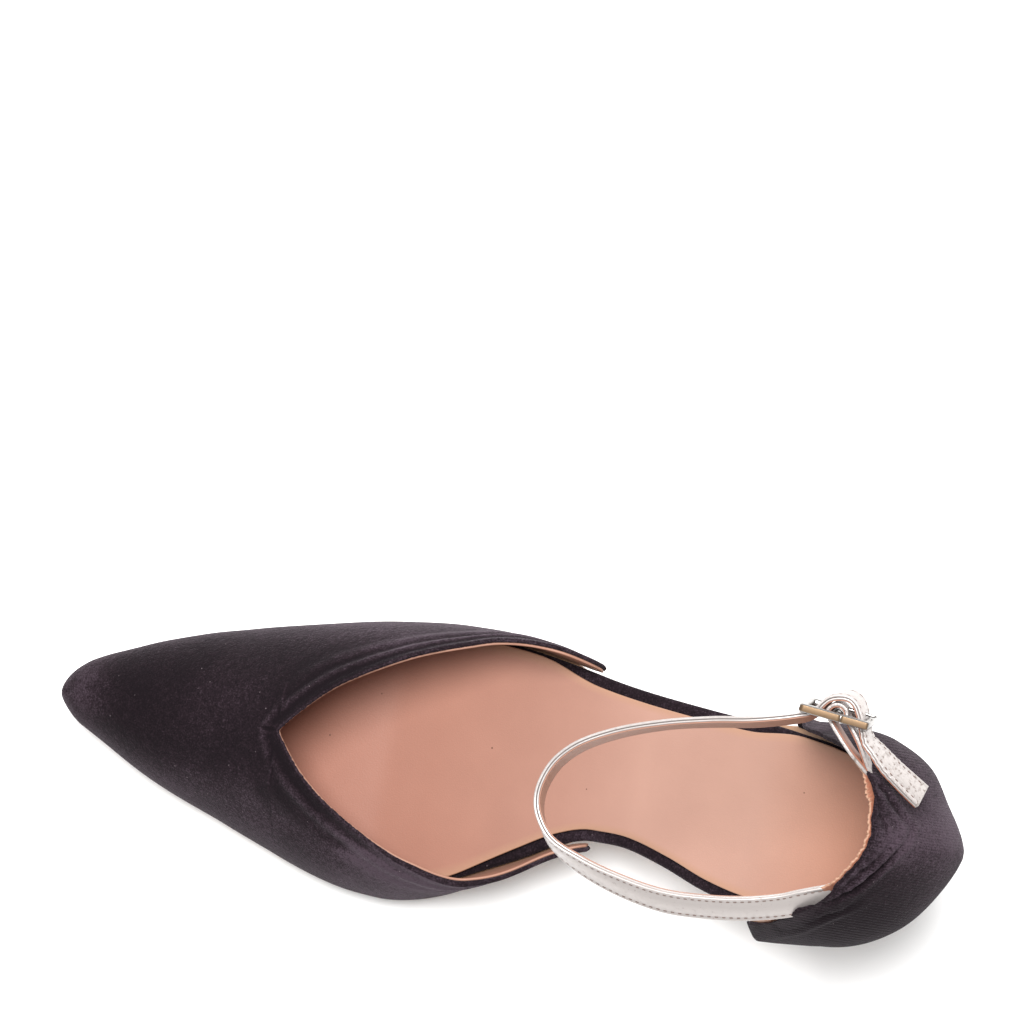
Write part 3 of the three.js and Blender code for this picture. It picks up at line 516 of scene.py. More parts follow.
sole = {"outsole": 2.6, "waistInset": 0.9, "sockInset": 0.7, "sockWaistInset": 2.4, "toeTrim": 1.7, "step": 8.0,
        "counterReach": {"medial": 50.0, "lateral": 57.0}, "wingReach": {"medial": 107.0, "lateral": 111.5},
        "stations": 240, "across": 20, "under": 6, "arc": 3, "dish": 0.5,
        # fuller beside the ball: how much, where and how long
        "bulge": {"medial": (1.2, 160.0, 24.0), "lateral": (0.0, 160.0, 24.0)},
        # where the sock's edge draws in from the vamp on each side
        "sockLeaves": {"medial": (122.0, 152.0), "lateral": (111.0, 130.0)}}


# 1 under the upper, 0 at the open waist
def underWall(u, side):
    heelEnd, toeEnd = sole["counterReach"][side], sole["wingReach"][side] + sole["step"]
    behind = smooth(u, heelEnd - sole["step"], heelEnd + sole["step"])
    ahead = smooth(u, toeEnd - sole["step"], toeEnd + sole["step"])
    return float(1 - behind + ahead)


def toeCut(u):
    return sole["toeTrim"] * float(smooth(u, last["length"] * last["toeFrom"], last["length"] * last["toeTo"]))


# a plate along the tread with rounded edges, and 1 for each point on the rounding of its top edge
def layPlate(grow, low, high, roundTop, roundUnder, shape=None):
    arc = [(1 - math.cos(turn), 1 - math.sin(turn))
           for turn in (math.pi / 2 * k / sole["arc"] for k in range(sole["arc"] + 1))]
    rows, rim = [], []
    for m, l in zip(*(outline(side, grow, sole["stations"]) for side in ("medial", "lateral"))):
        width = np.linalg.norm(m - l)
        side = (m - l) / width if width > 1e-6 else np.array([0.0, 1.0])
        top, under = min(roundTop, width * 0.45), min(roundUnder, width * 0.45)
        section = [(m - side * top * a, high - top * b, 1.0) for a, b in arc]
        for k in range(1, sole["across"]):
            share = k / sole["across"]
            spot = (m - side * top) * (1 - share) + (l + side * top) * share
            section.append((spot, high + (shape(spot[0], share) if shape else 0.0), 0.0))
        section += [(l + side * top * a, high - top * b, 1.0) for a, b in arc[::-1]]
        section += [(l + side * under * a, low + under * b, 1.0) for a, b in arc]
        for k in range(1, sole["under"]):
            share = k / sole["under"]
            section.append(((l + side * under) * (1 - share) + (m - side * under) * share, low, 0.0))
        section += [(m - side * under * a, low + under * b, 1.0) for a, b in arc[::-1]]
        rows.append([aboveTread(*spot, height) for spot, height, _ in section])
        rim += [edge for _, _, edge in section]
    points, faces, order = weld(*tube(rows, True))
    return points, faces, np.array(rim)[order]


def soleGrow(u, side):
    bulge, *where = sole["bulge"][side]
    return (-sole["waistInset"] + underWall(u, side) * (sole["waistInset"] + last["wall"]) - toeCut(u) * 0.3
            + bulge * bell(u, *where))


def sockGrow(u, side):
    heelEnd = sole["counterReach"][side]
    covered = 1 - smooth(u, heelEnd - sole["step"], heelEnd + sole["step"]) + smooth(u, *sole["sockLeaves"][side])
    return -toeCut(u) - sole["sockInset"] - (1 - float(covered)) * sole["sockWaistInset"]


# a shallow dish across, which starts ahead of the cup's end
def sockShape(u, share):
    return -sole["dish"] * math.sin(math.pi * share) * float(smooth(u, 8, 40))


boardLift = last["lift"]
sockLift = boardLift + last["board"] + last["gap"] * 0.3
points, faces, _ = layPlate(soleGrow, 0.0, sole["outsole"], roundTop=0.5, roundUnder=0.7)
addPiece("outsoleLeather", points, faces, soleTan, "sole_leather", ["outsole"])
points, faces, _ = layPlate(lambda u, side: -toeCut(u), boardLift, boardLift + last["board"], roundTop=1.1,
                            roundUnder=0.6)
addPiece("boardVelvet", points, faces, velvetPlain, "velvet", ["insole_board"])
points, faces, rim = layPlate(sockGrow, sockLift, sockLift + last["sock"], roundTop=0.35, roundUnder=0.2,
                              shape=sockShape)
addPiece("sockLeather", points, faces, sockNude, "nude_leather", ["sock"], {"edge": rim})
print("sole, board and sock laid")

vamp = {
    "reach": {"medial": 107.0, "lateral": 111.5}, "throat": 195.2, "noseRound": 3.2, "swell": 1.1,
    # along the wing, turn and flare on each side
    "medial": [(0.00, 0.045, 0.030), (0.03, 0.075, 0.036), (0.11, 0.110, 0.052), (0.22, 0.160, 0.062),
               (0.34, 0.230, 0.040), (0.43, 0.320, 0.016), (0.53, 0.430, 0.0), (0.63, 0.540, 0.0),
               (0.74, 0.645, 0.0), (0.84, 0.745, 0.0), (0.92, 0.850, 0.0), (1.00, 1.000, 0.0)],
    "lateral": [(0.00, 0.050, 0.026), (0.03, 0.115, 0.032), (0.11, 0.205, 0.038), (0.22, 0.260, 0.032),
                (0.34, 0.300, 0.016), (0.43, 0.355, 0.004), (0.53, 0.430, 0.0), (0.63, 0.510, 0.0),
                (0.74, 0.615, 0.0), (0.84, 0.725, 0.0), (0.92, 0.850, 0.0), (1.00, 1.000, 0.0)],
    "velvet": 1.2, "mitre": 3.9, "fray": 0.34, "edgeIn": 0.6,
    # distance from the topline, height and width of the soft ridges and troughs beside it
    "relief": {"medial": [(4.7, 0.42, 1.5), (2.3, -0.20, 1.0), (7.4, -0.22, 1.4), (10.6, 0.12, 2.2)],
               "lateral": [(3.6, 0.46, 1.1), (1.6, -0.22, 0.9), (5.7, -0.26, 1.1), (8.4, 0.30, 1.6),
                           (11.5, -0.10, 1.8)]},
    # leaner beside the toes and fuller over the ball: height, middle and length along, from and to across
    "fuller": [(-1.4, 206, 24, 13, 27), (1.35, 160, 26, 25, 36)],
}


def crownPoint(u):
    rise = last["instep"] * follow(last["crown"], u / last["length"])
    return aboveTread(u, last["shift"], last["lift"] + rise)


def wingShare(side, u):
    return (u - vamp["reach"][side]) / (vamp["throat"] - vamp["reach"][side])


def vampPoint(side, foot, turn):
    angle = turn * math.pi / 2
    u = foot[0]
    crown = crownPoint(u - vamp["noseRound"] * float(smooth(u, last["length"] * last["toeFrom"], last["length"])))
    base = aboveTread(*foot, last["lift"])
    rise, inward = math.sin(angle), math.cos(angle)
    offMiddle = float(smooth(abs(base[1] - crown[1]), 0, last["toeRadius"]))
    swell = vamp["swell"] * offMiddle * math.sin(math.pi * math.sqrt(min(rise, 1.0)))
    flare = last["ball"] * follow(vamp[side], wingShare(side, u), column=2) * float(smooth(turn, 0, 0.3))
    return np.array([base[0] + (crown[0] - base[0]) * (1 - inward),
                     crown[1] + (base[1] - crown[1]) * inward + sides[side] * (swell + flare),
                     base[2] + (crown[2] - base[2]) * rise])


def vampSheet(ahead, behind, columns, shorten):
    points, depths, faces = [], [], []
    tip = last["length"] + shellGrow
    for side in sides:
        edge = edgePaths[side]
        stations = [tip - (tip - vamp["throat"]) * (i / ahead) ** 1.5 for i in range(ahead)]
        stations += [vamp["throat"] - (vamp["throat"] - vamp["reach"][side]) * (i / behind) ** 1.05
                     for i in range(behind + 1)]
        start = len(points)
        rows = []
        for u in stations:
            foot = edge.at(edge.reach(u))
            limit = 1.0 if u >= vamp["throat"] else follow(vamp[side], wingShare(side, u), column=1)
            run = Path([vampPoint(side, foot, limit * k / 24) for k in range(25)])
            if u < vamp["throat"]:
                limit *= max(0.3, 1 - shorten(side, u) / run.length)
            rows.append((u, foot, limit))
        # topline's slope near the V, for the distance from its line carried on ahead
        edgeLine = [vampPoint(side, f, l) for u, f, l in rows if u <= vamp["throat"]]
        tangent = unit(edgeLine[0] - edgeLine[2])
        aheadRate = np.linalg.norm(np.cross(tangent, [1.0, 0.0, 0.0]))
        for i, (u, foot, limit) in enumerate(rows):
            row = np.array([vampPoint(side, foot, limit * (1 - (1 - k / columns) ** 1.35))
                            for k in range(columns + 1)])
            line = tangent
            if u <= vamp["throat"]:
                j = i - ahead
                line = unit(edgeLine[max(j - 1, 0)] - edgeLine[min(j + 1, len(edgeLine) - 1)])
            lean = np.linalg.norm(np.cross(line, unit(row[-1] - row[-3])))
            steps = np.linalg.norm(np.diff(row, axis=0), axis=1)
            left = np.concatenate([np.cumsum(steps[::-1])[::-1], [0]])
            points.extend(row)
            depths.extend(left * lean + max(u - vamp["throat"], 0) * aheadRate)
        faces += gridFaces(len(rows), columns + 1, start, flip=side == "medial")
    points, faces, order = weld(points, faces)
    return points, faces, np.array(depths)[order]


vampPoints, vampFaces, depth = vampSheet(ahead=120, behind=210, columns=52, shorten=lambda side, u: vamp["edgeIn"])
aheadOfHeel = vampPoints[:, 0] + last["forward"]
aside = vampPoints[:, 1] - last["shift"]
medialSide = smooth(aside, -3.0, 3.0)
relief = {side: sum(high * bell(depth, middle, width) for middle, high, width in rows)
          for side, rows in vamp["relief"].items()}
vampLift = relief["medial"] * medialSide + relief["lateral"] * (1 - medialSide)
# the ridges start ahead of the wings' ends and die out round the V
throat = vamp["throat"]
vampLift *= 0.8 * smooth(aheadOfHeel, 112, 135)
vampLift *= 1 - smooth(aheadOfHeel, throat - 8, throat + 1) * smooth(depth, 4, 7)
vampLift *= 1 - 0.7 * smooth(aheadOfHeel, throat + 2, throat + 9)
# the folded edge's mitre ahead of the V, a crease between two small ridges
mitreEnd = throat + vamp["mitre"]
mitred = smooth(aheadOfHeel, throat - 0.5, throat + 0.5) * (1 - smooth(aheadOfHeel, mitreEnd - 0.5, mitreEnd + 1.2))
vampLift += mitred * (0.26 * bell(np.abs(aside), 1.0, 0.6) - 0.30 * bell(aside, 0, 0.45))
for high, middle, width, low, full in vamp["fuller"]:
    vampLift += high * medialSide * bell(aheadOfHeel, middle, width) * smooth(aside, low, full)
# slack of the velvet over the toes
slack = np.sin(aheadOfHeel * 0.23 + vampPoints[:, 1] * 0.31) * np.sin(vampPoints[:, 1] * 0.17)
vampLift += 0.10 * slack * smooth(aheadOfHeel, 200, 220)
shellPoints, shellFaces = layered(vampPoints, vampFaces, 0.0, vamp["velvet"], vampLift, fray=vamp["fray"])
# painted light and shade in the velvet's tone: painted sheen lighter at the tip, along the near side (less close to
# the floor) and on the far edge, painted highlights on the ridges beside the topline, painted shade in their troughs
# and just inside the topline
nearFloor = 1 - smooth(vampPoints[:, 2] - treadHeight(150.0), 3.0, 15.0)
paintedLight = -0.11 + 0.21 * smooth(aheadOfHeel, 244, 258)
paintedLight += 0.30 * medialSide * (1 - smooth(aheadOfHeel, 150, 215)) * smooth(aside, 12, 26) * (1 - 0.6 * nearFloor)
paintedLight += 0.14 * medialSide * smooth(aside, 8, 18) * smooth(aheadOfHeel, 180, 215)
paintedLight += 0.17 * (1 - medialSide) * smooth(-aside, 18, 34)
paintedLight += 0.55 * np.clip(vampLift, -0.2, 0.3) * (1 - smooth(depth, 9, 14))
paintedLight -= 0.10 * bell(depth, 1.6, 1.2)
addPiece("vampVelvet", shellPoints, shellFaces, velvetPlain, "velvet", ["vamp"],
         {"paintedLight": overShell(paintedLight, len(shellPoints))})


# the lining stops short of the folded velvet, least beside the V
def liningShort(side, u):
    return 1.15 - (0.45 * float(smooth(u, 172, 184)) if side == "medial" else 0.2)


liningPoints, liningFaces, _ = vampSheet(ahead=60, behind=90, columns=26, shorten=liningShort)
shellPoints, shellFaces = layered(liningPoints, liningFaces, vamp["velvet"] + 0.02, last["wall"] + 0.1, rimSteps=4)
addPiece("vampLining", shellPoints, shellFaces, liningNude, "nude_leather")
print("vamp lasted")

counter = {
    "height": 52.0, "reach": {"medial": 50.0, "lateral": 44.0}, "sweep": 3.5,
    # along the wall, height, swell, lean
    "medial": [(0.00, 1.00, 0.150, 0.500), (0.20, 0.99, 0.120, 0.490), (0.40, 0.97, 0.160, 0.415),
               (0.60, 0.94, 0.185, 0.270), (0.75, 0.84, 0.165, 0.100), (0.88, 0.62, 0.150, 0.000),
               (1.00, 0.40, 0.165, -0.020)],
    "lateral": [(0.00, 1.00, 0.150, 0.500), (0.20, 0.99, 0.120, 0.420), (0.40, 0.97, 0.210, 0.225),
                (0.60, 0.92, 0.215, 0.080), (0.75, 0.80, 0.180, 0.010), (0.88, 0.58, 0.140, -0.010),
                (1.00, 0.40, 0.080, -0.020)],
    "stations": 150, "up": 64, "liningUp": 26, "velvet": 1.1, "lateralLonger": 1.16, "fray": 0.3,
    "seamPoint": 1.9, "seamSpread": 11.0,
    # creases of the slack velvet, along (medial negative) and up the wall, then depth and width
    "creases": [([(-0.60, 0.975), (-0.49, 0.93), (-0.37, 0.90), (-0.27, 0.89), (-0.14, 0.87), (-0.04, 0.85),
                  (0.05, 0.80), (0.12, 0.76)], 0.75, 0.9),
                ([(-0.55, 0.985), (-0.42, 0.955), (-0.26, 0.95), (-0.18, 0.93), (-0.05, 0.91), (0.03, 0.88)],
                 0.42, 0.8),
                ([(-0.72, 0.90), (-0.60, 0.87), (-0.50, 0.83), (-0.40, 0.82)], 0.40, 1.1),
                ([(0.46, 0.965), (0.40, 0.95), (0.30, 0.89), (0.19, 0.82), (0.10, 0.77)], 0.45, 1.0),
                ([(0.34, 0.985), (0.22, 0.955), (0.10, 0.93), (0.02, 0.93)], 0.30, 0.9)],
}


def counterPoint(side, share, up):
    rows, edge, sign = counter[side], edgePaths[side], sides[side]
    reach = edge.reach(counter["reach"][side])
    foot = edge.at(reach * share)
    along = edge.at(reach * share + 0.5) - edge.at(max(reach * share - 0.5, 0))
    if share == 0:
        along = np.array([0.0, sign])
    along = unit(along)
    out = np.array([-along[1], along[0]]) * sign
    swell = last["heelRadius"] * follow(rows, share, column=2) * math.sin(math.pi * max(up, 0.0) ** 0.8)
    lean = last["heelRadius"] * follow(rows, share, column=3) * up ** 2
    middle = np.array([max(foot[0], last["back"] + last["heelRadius"]), last["shift"]])
    spot = foot + out * swell + unit(middle - foot) * lean
    rise = counter["height"] * follow(rows, share, 1) * up
    forward = counter["sweep"] * float(smooth(share, 0.7, 1)) * up
    return world(spot[0] + forward, spot[1], treadHeight(foot[0]) + last["lift"] + rise)


# rows run from the medial wing's end round the back to the lateral wing's end; places hold the share along,
# the share up the wall and the distance below the counter's height
def counterSheet(stations, levels, drop):
    rows, places = [], []
    for i in range(-stations, stations + 1):
        side, share = ("medial", -i / stations) if i < 0 else ("lateral", i / stations * counter["lateralLonger"])
        along = share if i > 0 else -share
        height = counter["height"] * follow(counter[side], share, 1)
        top = 1 - drop(along) / height
        rows.append([counterPoint(side, share, top * j / levels) for j in range(levels + 1)])
        places += [(along, top * j / levels, height * (1 - top * j / levels)) for j in range(levels + 1)]
    points = np.concatenate([np.array(r) for r in rows])
    return points, gridFaces(2 * stations + 1, levels + 1, flip=True), np.array(places)


# each crease is a trough along its line with a ridge beside it, and fades towards its ends
def creaseLift(points):
    lift = np.zeros(len(points))
    for line, deep, width in counter["creases"]:
        run = Path([counterPoint("medial" if along < 0 else "lateral", abs(along), up) for along, up in line])
        stops = np.array([run.at(run.length * k / 60) for k in range(61)])
        gap = np.linalg.norm(points[:, None] - stops[None], axis=2)
        near, share = gap.min(axis=1), gap.argmin(axis=1) / 60
        fade = np.sin(math.pi * np.clip(share * 0.86 + 0.10, 0, 1)) ** 0.7
        lift += fade * deep * (0.75 * bell(near, width * 1.9, width * 1.1) - 1.2 * bell(near, 0, width * 0.75))
    return lift


# 1 where the strap's end lies between the velvet and the lining
def overStrap(places):
    along, _, below = places.T
    return smooth(-along, 0.47, 0.55) * (1 - smooth(-along, 0.80, 0.95)) * (1 - smooth(below, 7.5, 11.0))


# how far the edge lies below the counter's height: raised over the strap's end, cut down at the lateral wing
def velvetDrop(along):
    raised = -3.6 * bell(-along, 0.775, 0.095)
    cut = 15.0 * float(smooth(along, 0.97, counter["lateralLonger"]))
    return 0.55 + raised + cut + 0.18 * math.sin(along * 41) * math.sin(along * 17 + 1)


velvetPoints, velvetFaces, places = counterSheet(counter["stations"], counter["up"], velvetDrop)
along, up, below = places.T
fromSeam = np.abs(along) * edgePaths["medial"].reach(counter["reach"]["medial"])
velvetLift = creaseLift(velvetPoints)
# the seam behind stands out to a soft point with a fine line down it
velvetLift += (counter["seamPoint"] * np.clip(1 - fromSeam / counter["seamSpread"], 0, 1) ** 1.7
               * np.sin(math.pi * np.clip(up, 0, 1)) ** 0.8)
velvetLift -= 0.22 * bell(fromSeam, 0, 0.45) * (1 - smooth(up, 0.97, 1.0))
# small puckers that the topline's stitching draws into the velvet
velvetLift += 0.13 * np.sin(along * 75 + 2 * np.sin(along * 9)) * (1 - smooth(below, 2.0, 9.0))
# the velvet leans in over the strap's end
velvetLift -= 2.1 * bell(-along, 0.76, 0.11) * (1 - smooth(below, -1.0, 9.0))
covering = overStrap(places)
# painted light and shade in the velvet's tone: painted sheen lighter behind, on the far side and near the top, painted
# shade darker low on the near side, painted highlights on the crease ridges high up and painted shade in their troughs
paintedLight = -0.08 + 0.34 * bell(along, 0.12, 0.26) * np.sin(math.pi * np.clip(up, 0.05, 1)) ** 0.6
paintedLight += 0.14 * smooth(along, 0.2, 0.5) * smooth(up, 0.2, 0.6)
paintedLight += 0.16 * smooth(up, 0.86, 0.97) * bell(along, -0.35, 0.3)
paintedLight -= 0.22 * smooth(-along, 0.22, 0.5) * (1 - smooth(up, 0.8, 1.0))
paintedLight += 0.30 * np.clip(velvetLift, -0.4, 0.5) * smooth(up, 0.7, 0.85) * (1 - covering)
shellPoints, shellFaces = layered(velvetPoints, velvetFaces, -0.55 * covering,
                                  counter["velvet"] - covering * (counter["velvet"] - 0.06), velvetLift,
                                  fray=counter["fray"])
addPiece("counterVelvet", shellPoints, shellFaces, velvetRibbed, "velvet", ["counter"],
         {"paintedLight": overShell(paintedLight, len(shellPoints))})


# a raw edge; at the lateral wing the velvet is turned in over it
def liningDrop(along):
    turned = 30.0 * float(smooth(along, 0.66, 0.98))
    torn = bell(along, 0.43, 0.09) * (0.7 * math.sin(along * 170) - 1.7)
    nearStrap = -2.6 * bell(-along, 0.74, 0.09)
    return 0.1 + turned + torn + nearStrap + 0.14 * math.sin(along * 57) + 0.10 * math.sin(along * 133 + 1)


liningPoints, liningFaces, places = counterSheet(counter["stations"], counter["liningUp"], liningDrop)
along, _, below = places.T
shift = 0.85 * overStrap(places) + 2.0 * bell(-along, 0.72, 0.09) * (1 - smooth(below, 2.0, 9.0))
shellPoints, shellFaces = layered(liningPoints, liningFaces, counter["velvet"] + 0.02 + shift,
                                  last["wall"] - 0.05 + shift, rimSteps=4, fray=counter["fray"])
edge = np.ones(len(shellPoints))
edge[:2 * len(liningPoints)] = np.tile(1 - smooth(below - below.min(), 0.0, 0.5), 2)
addPiece("counterLining", shellPoints, shellFaces, liningNude, "nude_leather", values={"edge": edge})
print("counter lasted")

strap = {
    "width": 8.0, "reach": 77.6, "spread": 54.0, "tail": 17.0, "seamShare": 0.63, "level": 94.8,
    # ahead, across, above, lean
    "loop": [(0.118, 0.398, 0.000, 44), (0.236, 0.443, 0.000, 43), (0.349, 0.468, -0.006, 42),
             (0.513, 0.481, -0.013, 42), (0.682, 0.444, -0.026, 38), (0.824, 0.381, -0.038, 28),
             (0.932, 0.298, -0.045, 15), (0.983, 0.189, -0.051, 6), (0.994, 0.106, -0.051, 1),
             (0.983, 0.020, -0.045, -2), (0.950, -0.074, -0.038, -5), (0.883, -0.167, -0.026, -7),
             (0.767, -0.257, -0.013, -7), (0.609, -0.335, 0.013, -6), (0.446, -0.388, 0.038, -8),
             (0.300, -0.424, 0.064, -9)],
    # the end inside the counter, from its cut edge to the first row of the loop
    "end": [(-7.4, 14.9, 94.4, 42), (-4.0, 17.0, 95.6, 42), (-0.4, 18.4, 95.5, 43), (3.4, 19.9, 95.2, 44)],
    # along, out of the buckle, further lean
    "weave": [(0.463, -0.179, -18), (0.352, -0.107, -14), (0.258, -0.002, -8), (0.200, 0.107, -4), (0.136, 0.192, 0),
              (-0.011, 0.266, 3), (-0.139, 0.272, 5), (-0.232, 0.220, 7), (-0.299, 0.129, 8), (-0.354, 0.021, 7),
              (-0.408, -0.109, 6), (-0.479, -0.238, 8)],
    # behind, inward, below, lean
    "tailRows": [(0.153, 0.132, 0.006, 20), (0.360, 0.319, 0.053, 29), (0.622, 0.510, 0.153, 34),
                 (0.894, 0.699, 0.282, 37)],
    # layers through the strap, from its middle outwards
    "outer": (0.12, 0.85), "backing": (-0.52, 0.02), "lining": (-0.85, -0.56),
    "stitchIn": 1.05, "stitchPitch": 1.87, "stitchLong": 0.95, "stitchThick": 0.16,
}
buckle = {"length": 18.5, "height": 13.5, "wire": 1.8, "bar": 1.2, "prong": 1.2, "ahead": 10.55, "outward": 14.0,
          "turn": 6.0, "tilt": 10.0, "stayShare": 0.52, "corner": 1.1, "innerCorner": 0.35, "bevel": 0.3,
          "deep": 2.1, "curl": 1.35}
stay = {"width": 5.0, "thick": 1.2, "radius": 2.45, "legGap": 0.2, "foilTo": 0.25, "liningFrom": 0.29, "aside": 0.5,
        "sunk": 1.2, "ahead": 2.2, "sewn": 0.62}


# the middle of the counter's wall at a depth below its top
def wallMiddle(side, share, depth):
    up = 1 - depth / (counter["height"] * follow(counter[side], share, 1))
    rise = unit(counterPoint(side, share, up + 0.02) - counterPoint(side, share, up - 0.02))
    along = unit(counterPoint(side, share + 0.02, up) - counterPoint(side, share - 0.02, up))
    out = unit(np.cross(along, rise))
    if out[1] * sides[side] < 0:
        out = -out
    return counterPoint(side, share, up) - out * last["wall"] / 2


buckleTurn, buckleTilt = math.radians(buckle["turn"]), math.radians(buckle["tilt"])
alongBuckle = np.array([math.cos(buckleTurn), -math.sin(buckleTurn), 0.0])
inwardBuckle = np.array([math.sin(buckleTurn), math.cos(buckleTurn), 0.0])


def leaning(aside, angle):
    return aside * math.sin(angle) + np.array([0, 0, math.cos(angle)])


upBuckle = leaning(inwardBuckle, buckleTilt)
outBuckle = unit(np.cross(alongBuckle, upBuckle))
buckleCentre = (counterPoint("lateral", buckle["stayShare"], 1)
                + np.array([buckle["ahead"], -buckle["outward"], 0.0]))


def inBuckle(along, out, up):
    return buckleCentre + alongBuckle * along + outBuckle * out + upBuckle * up


# smooth line through points, kept even where they lie close together
def throughPoints(spots, t):
    segments = len(spots) - 1
    p = segments * t
    i = min(int(math.floor(p)), segments - 1)
    w = p - i
    p1, p2 = spots[i], spots[i + 1]
    p0 = spots[i - 1] if i > 0 else 2 * spots[0] - spots[1]
    p3 = spots[i + 2] if i + 2 <= segments else 2 * spots[-1] - spots[-2]
    d0, d1, d2 = (np.linalg.norm(b - a) ** 0.5 for a, b in ((p0, p1), (p1, p2), (p2, p3)))
    d1 = d1 if d1 > 1e-4 else 1.0
    d0 = d0 if d0 > 1e-4 else d1
    d2 = d2 if d2 > 1e-4 else d1
    t1 = ((p1 - p0) / d0 - (p2 - p0) / (d0 + d1) + (p2 - p1) / d1) * d1
    t2 = ((p2 - p1) / d1 - (p3 - p1) / (d1 + d2) + (p3 - p2) / d2) * d1
    c2, c3 = -3 * p1 + 3 * p2 - 2 * t1 - t2, 2 * p1 - 2 * p2 + t1 + t2
    return p1 + t1 * w + c2 * w * w + c3 * w ** 3


def strapRoute():
    stops = [(np.array(place), None, lean) for *place, lean in strap["end"]]
    seam = counterPoint("medial", strap["seamShare"], 1)
    for ahead, across, above, lean in strap["loop"]:
        at = np.array([seam[0] + strap["reach"] * ahead, strap["spread"] * across,
                       strap["level"] + strap["reach"] * above])
        stops.append((at, None, lean))
    for along, out, lean in strap["weave"]:
        stops.append((inBuckle(along * buckle["length"], out * buckle["length"], 0),
                      leaning(inwardBuckle, buckleTilt + math.radians(lean)), None))
    leave = stops[-1][0]
    for behind, inward, below, lean in strap["tailRows"]:
        stops.append((leave + np.array([-behind, inward, -below]) * strap["tail"], None, lean))
    return stops


def strapLine(step):
    route = strapRoute()
    spots = [stop[0] for stop in route]
    segments = len(spots) - 1
    result = []
    for i in range(segments):
        pieces = max(2, round(np.linalg.norm(spots[i + 1] - spots[i]) / step))
        for k in range(pieces + (1 if i == segments - 1 else 0)):
            t = (i + k / pieces) / segments
            tangent = throughPoints(spots, min(t + 1e-4, 1)) - throughPoints(spots, max(t - 1e-4, 0))
            inside = unit(np.array([tangent[1], -tangent[0], 0.0]))

            def upAt(index):
                if route[index][1] is not None:
                    return route[index][1]
                return leaning(inside, math.radians(route[index][2]))

            share = k / pieces
            up = upAt(i) * (1 - share) + upAt(i + 1) * share
            result.append((throughPoints(spots, t), unit(up)))
    return result


# the strap's section with a shallow groove where each row of stitches runs
def strapSection(width, low, high, radius, groove=0.0):
    shape = bandSection(width, low, high, radius)
    if groove:
        at = strap["width"] / 2 - strap["stitchIn"]
        shape += [(at * sign + step, high - depth) for sign in (-1, 1)
                  for step, depth in ((-0.4, 0.0), (-0.15, groove), (0.15, groove), (0.4, 0.0))]
    return shape


line = strapLine(step=0.6)
leaving = inBuckle(*(buckle["length"] * share for share in strap["weave"][-2][:2]), 0)
tailStart = len(line) // 2 + int(np.argmin([np.linalg.norm(place - leaving) for place, _ in line[len(line) // 2:]]))


# the free end is wrinkled across where it has been bent, and its foil is crackled
def tailRun():
    stops = []
    run = line[tailStart:]
    for i, (place, up) in enumerate(run):
        _, out = squared(run[min(i + 1, len(run) - 1)][0] - run[max(i - 1, 0)][0], up)
        wrinkle = 0.07 * math.sin(i * 1.9) * float(1 - smooth(i / (len(run) - 1), 0.45, 0.75))
        stops.append((place + out * wrinkle, up))
    return stops


strapStops, tailStops = line[:tailStart + 1], tailRun()
for name, stops, layer, narrower, rounding, groove, material, slotName, replaced in (
        ("strapOuter", strapStops, "outer", 0.0, 0.3, 0.14, strapSilver, "silver_leather", ["ankle_strap"]),
        ("strapBacking", strapStops, "backing", 0.25, 0.2, 0.0, strapSilver, "silver_leather", []),
        ("strapLining", line, "lining", 0.5, 0.12, 0.0, liningNude, "nude_leather", []),
        ("tailOuter", tailStops, "outer", 0.0, 0.3, 0.10, tailSilver, "silver_leather", []),
        ("tailBacking", tailStops, "backing", 0.25, 0.2, 0.0, strapSilver, "silver_leather", [])):
    section = strapSection(strap["width"] - narrower, *strap[layer], rounding, groove)
    addPiece(name, *sweep(stops, section), material, slotName, replaced)


# one closed stitch lying in the groove, pointed at both ends
def stitchBody(start, end, up, out):
    return tube([[(start + end) / 2 + (end - start) / 2 * at
                  + (up * math.cos(turn) + out * math.sin(turn)) * strap["stitchThick"] * size
                  for turn in (math.pi * k / 3 for k in range(6))]
                 for at, size in ((-1, 0.3), (-0.55, 1.0), (0.55, 1.0), (1, 0.3))])


def stitchRows():
    places = Path([place for place, _ in line])
    ups = np.array([up for _, up in line])
    stitches = []
    count = int(places.length / strap["stitchPitch"])
    for sign in (-1, 1):
        for k in range(3, count):
            ends = []
            for at in (k * strap["stitchPitch"], k * strap["stitchPitch"] + strap["stitchLong"]):
                if at + 0.5 > places.length - 1.2:
                    break
                up = np.array([np.interp(at, places.marks, ups[:, j]) for j in range(3)])
                up, out = squared(places.at(at + 0.3) - places.at(at - 0.3), up)
                ends.append((places.at(at) + up * sign * (strap["width"] / 2 - strap["stitchIn"])
                             + out * (strap["outer"][1] - 0.10), up, out))
            if len(ends) == 2:
                stitches.append(stitchBody(ends[0][0], ends[1][0], *ends[0][1:]))
    return together(stitches)


addPiece("strapStitches", *stitchRows(), stitchThread, "silver_leather")
print("strap run round")


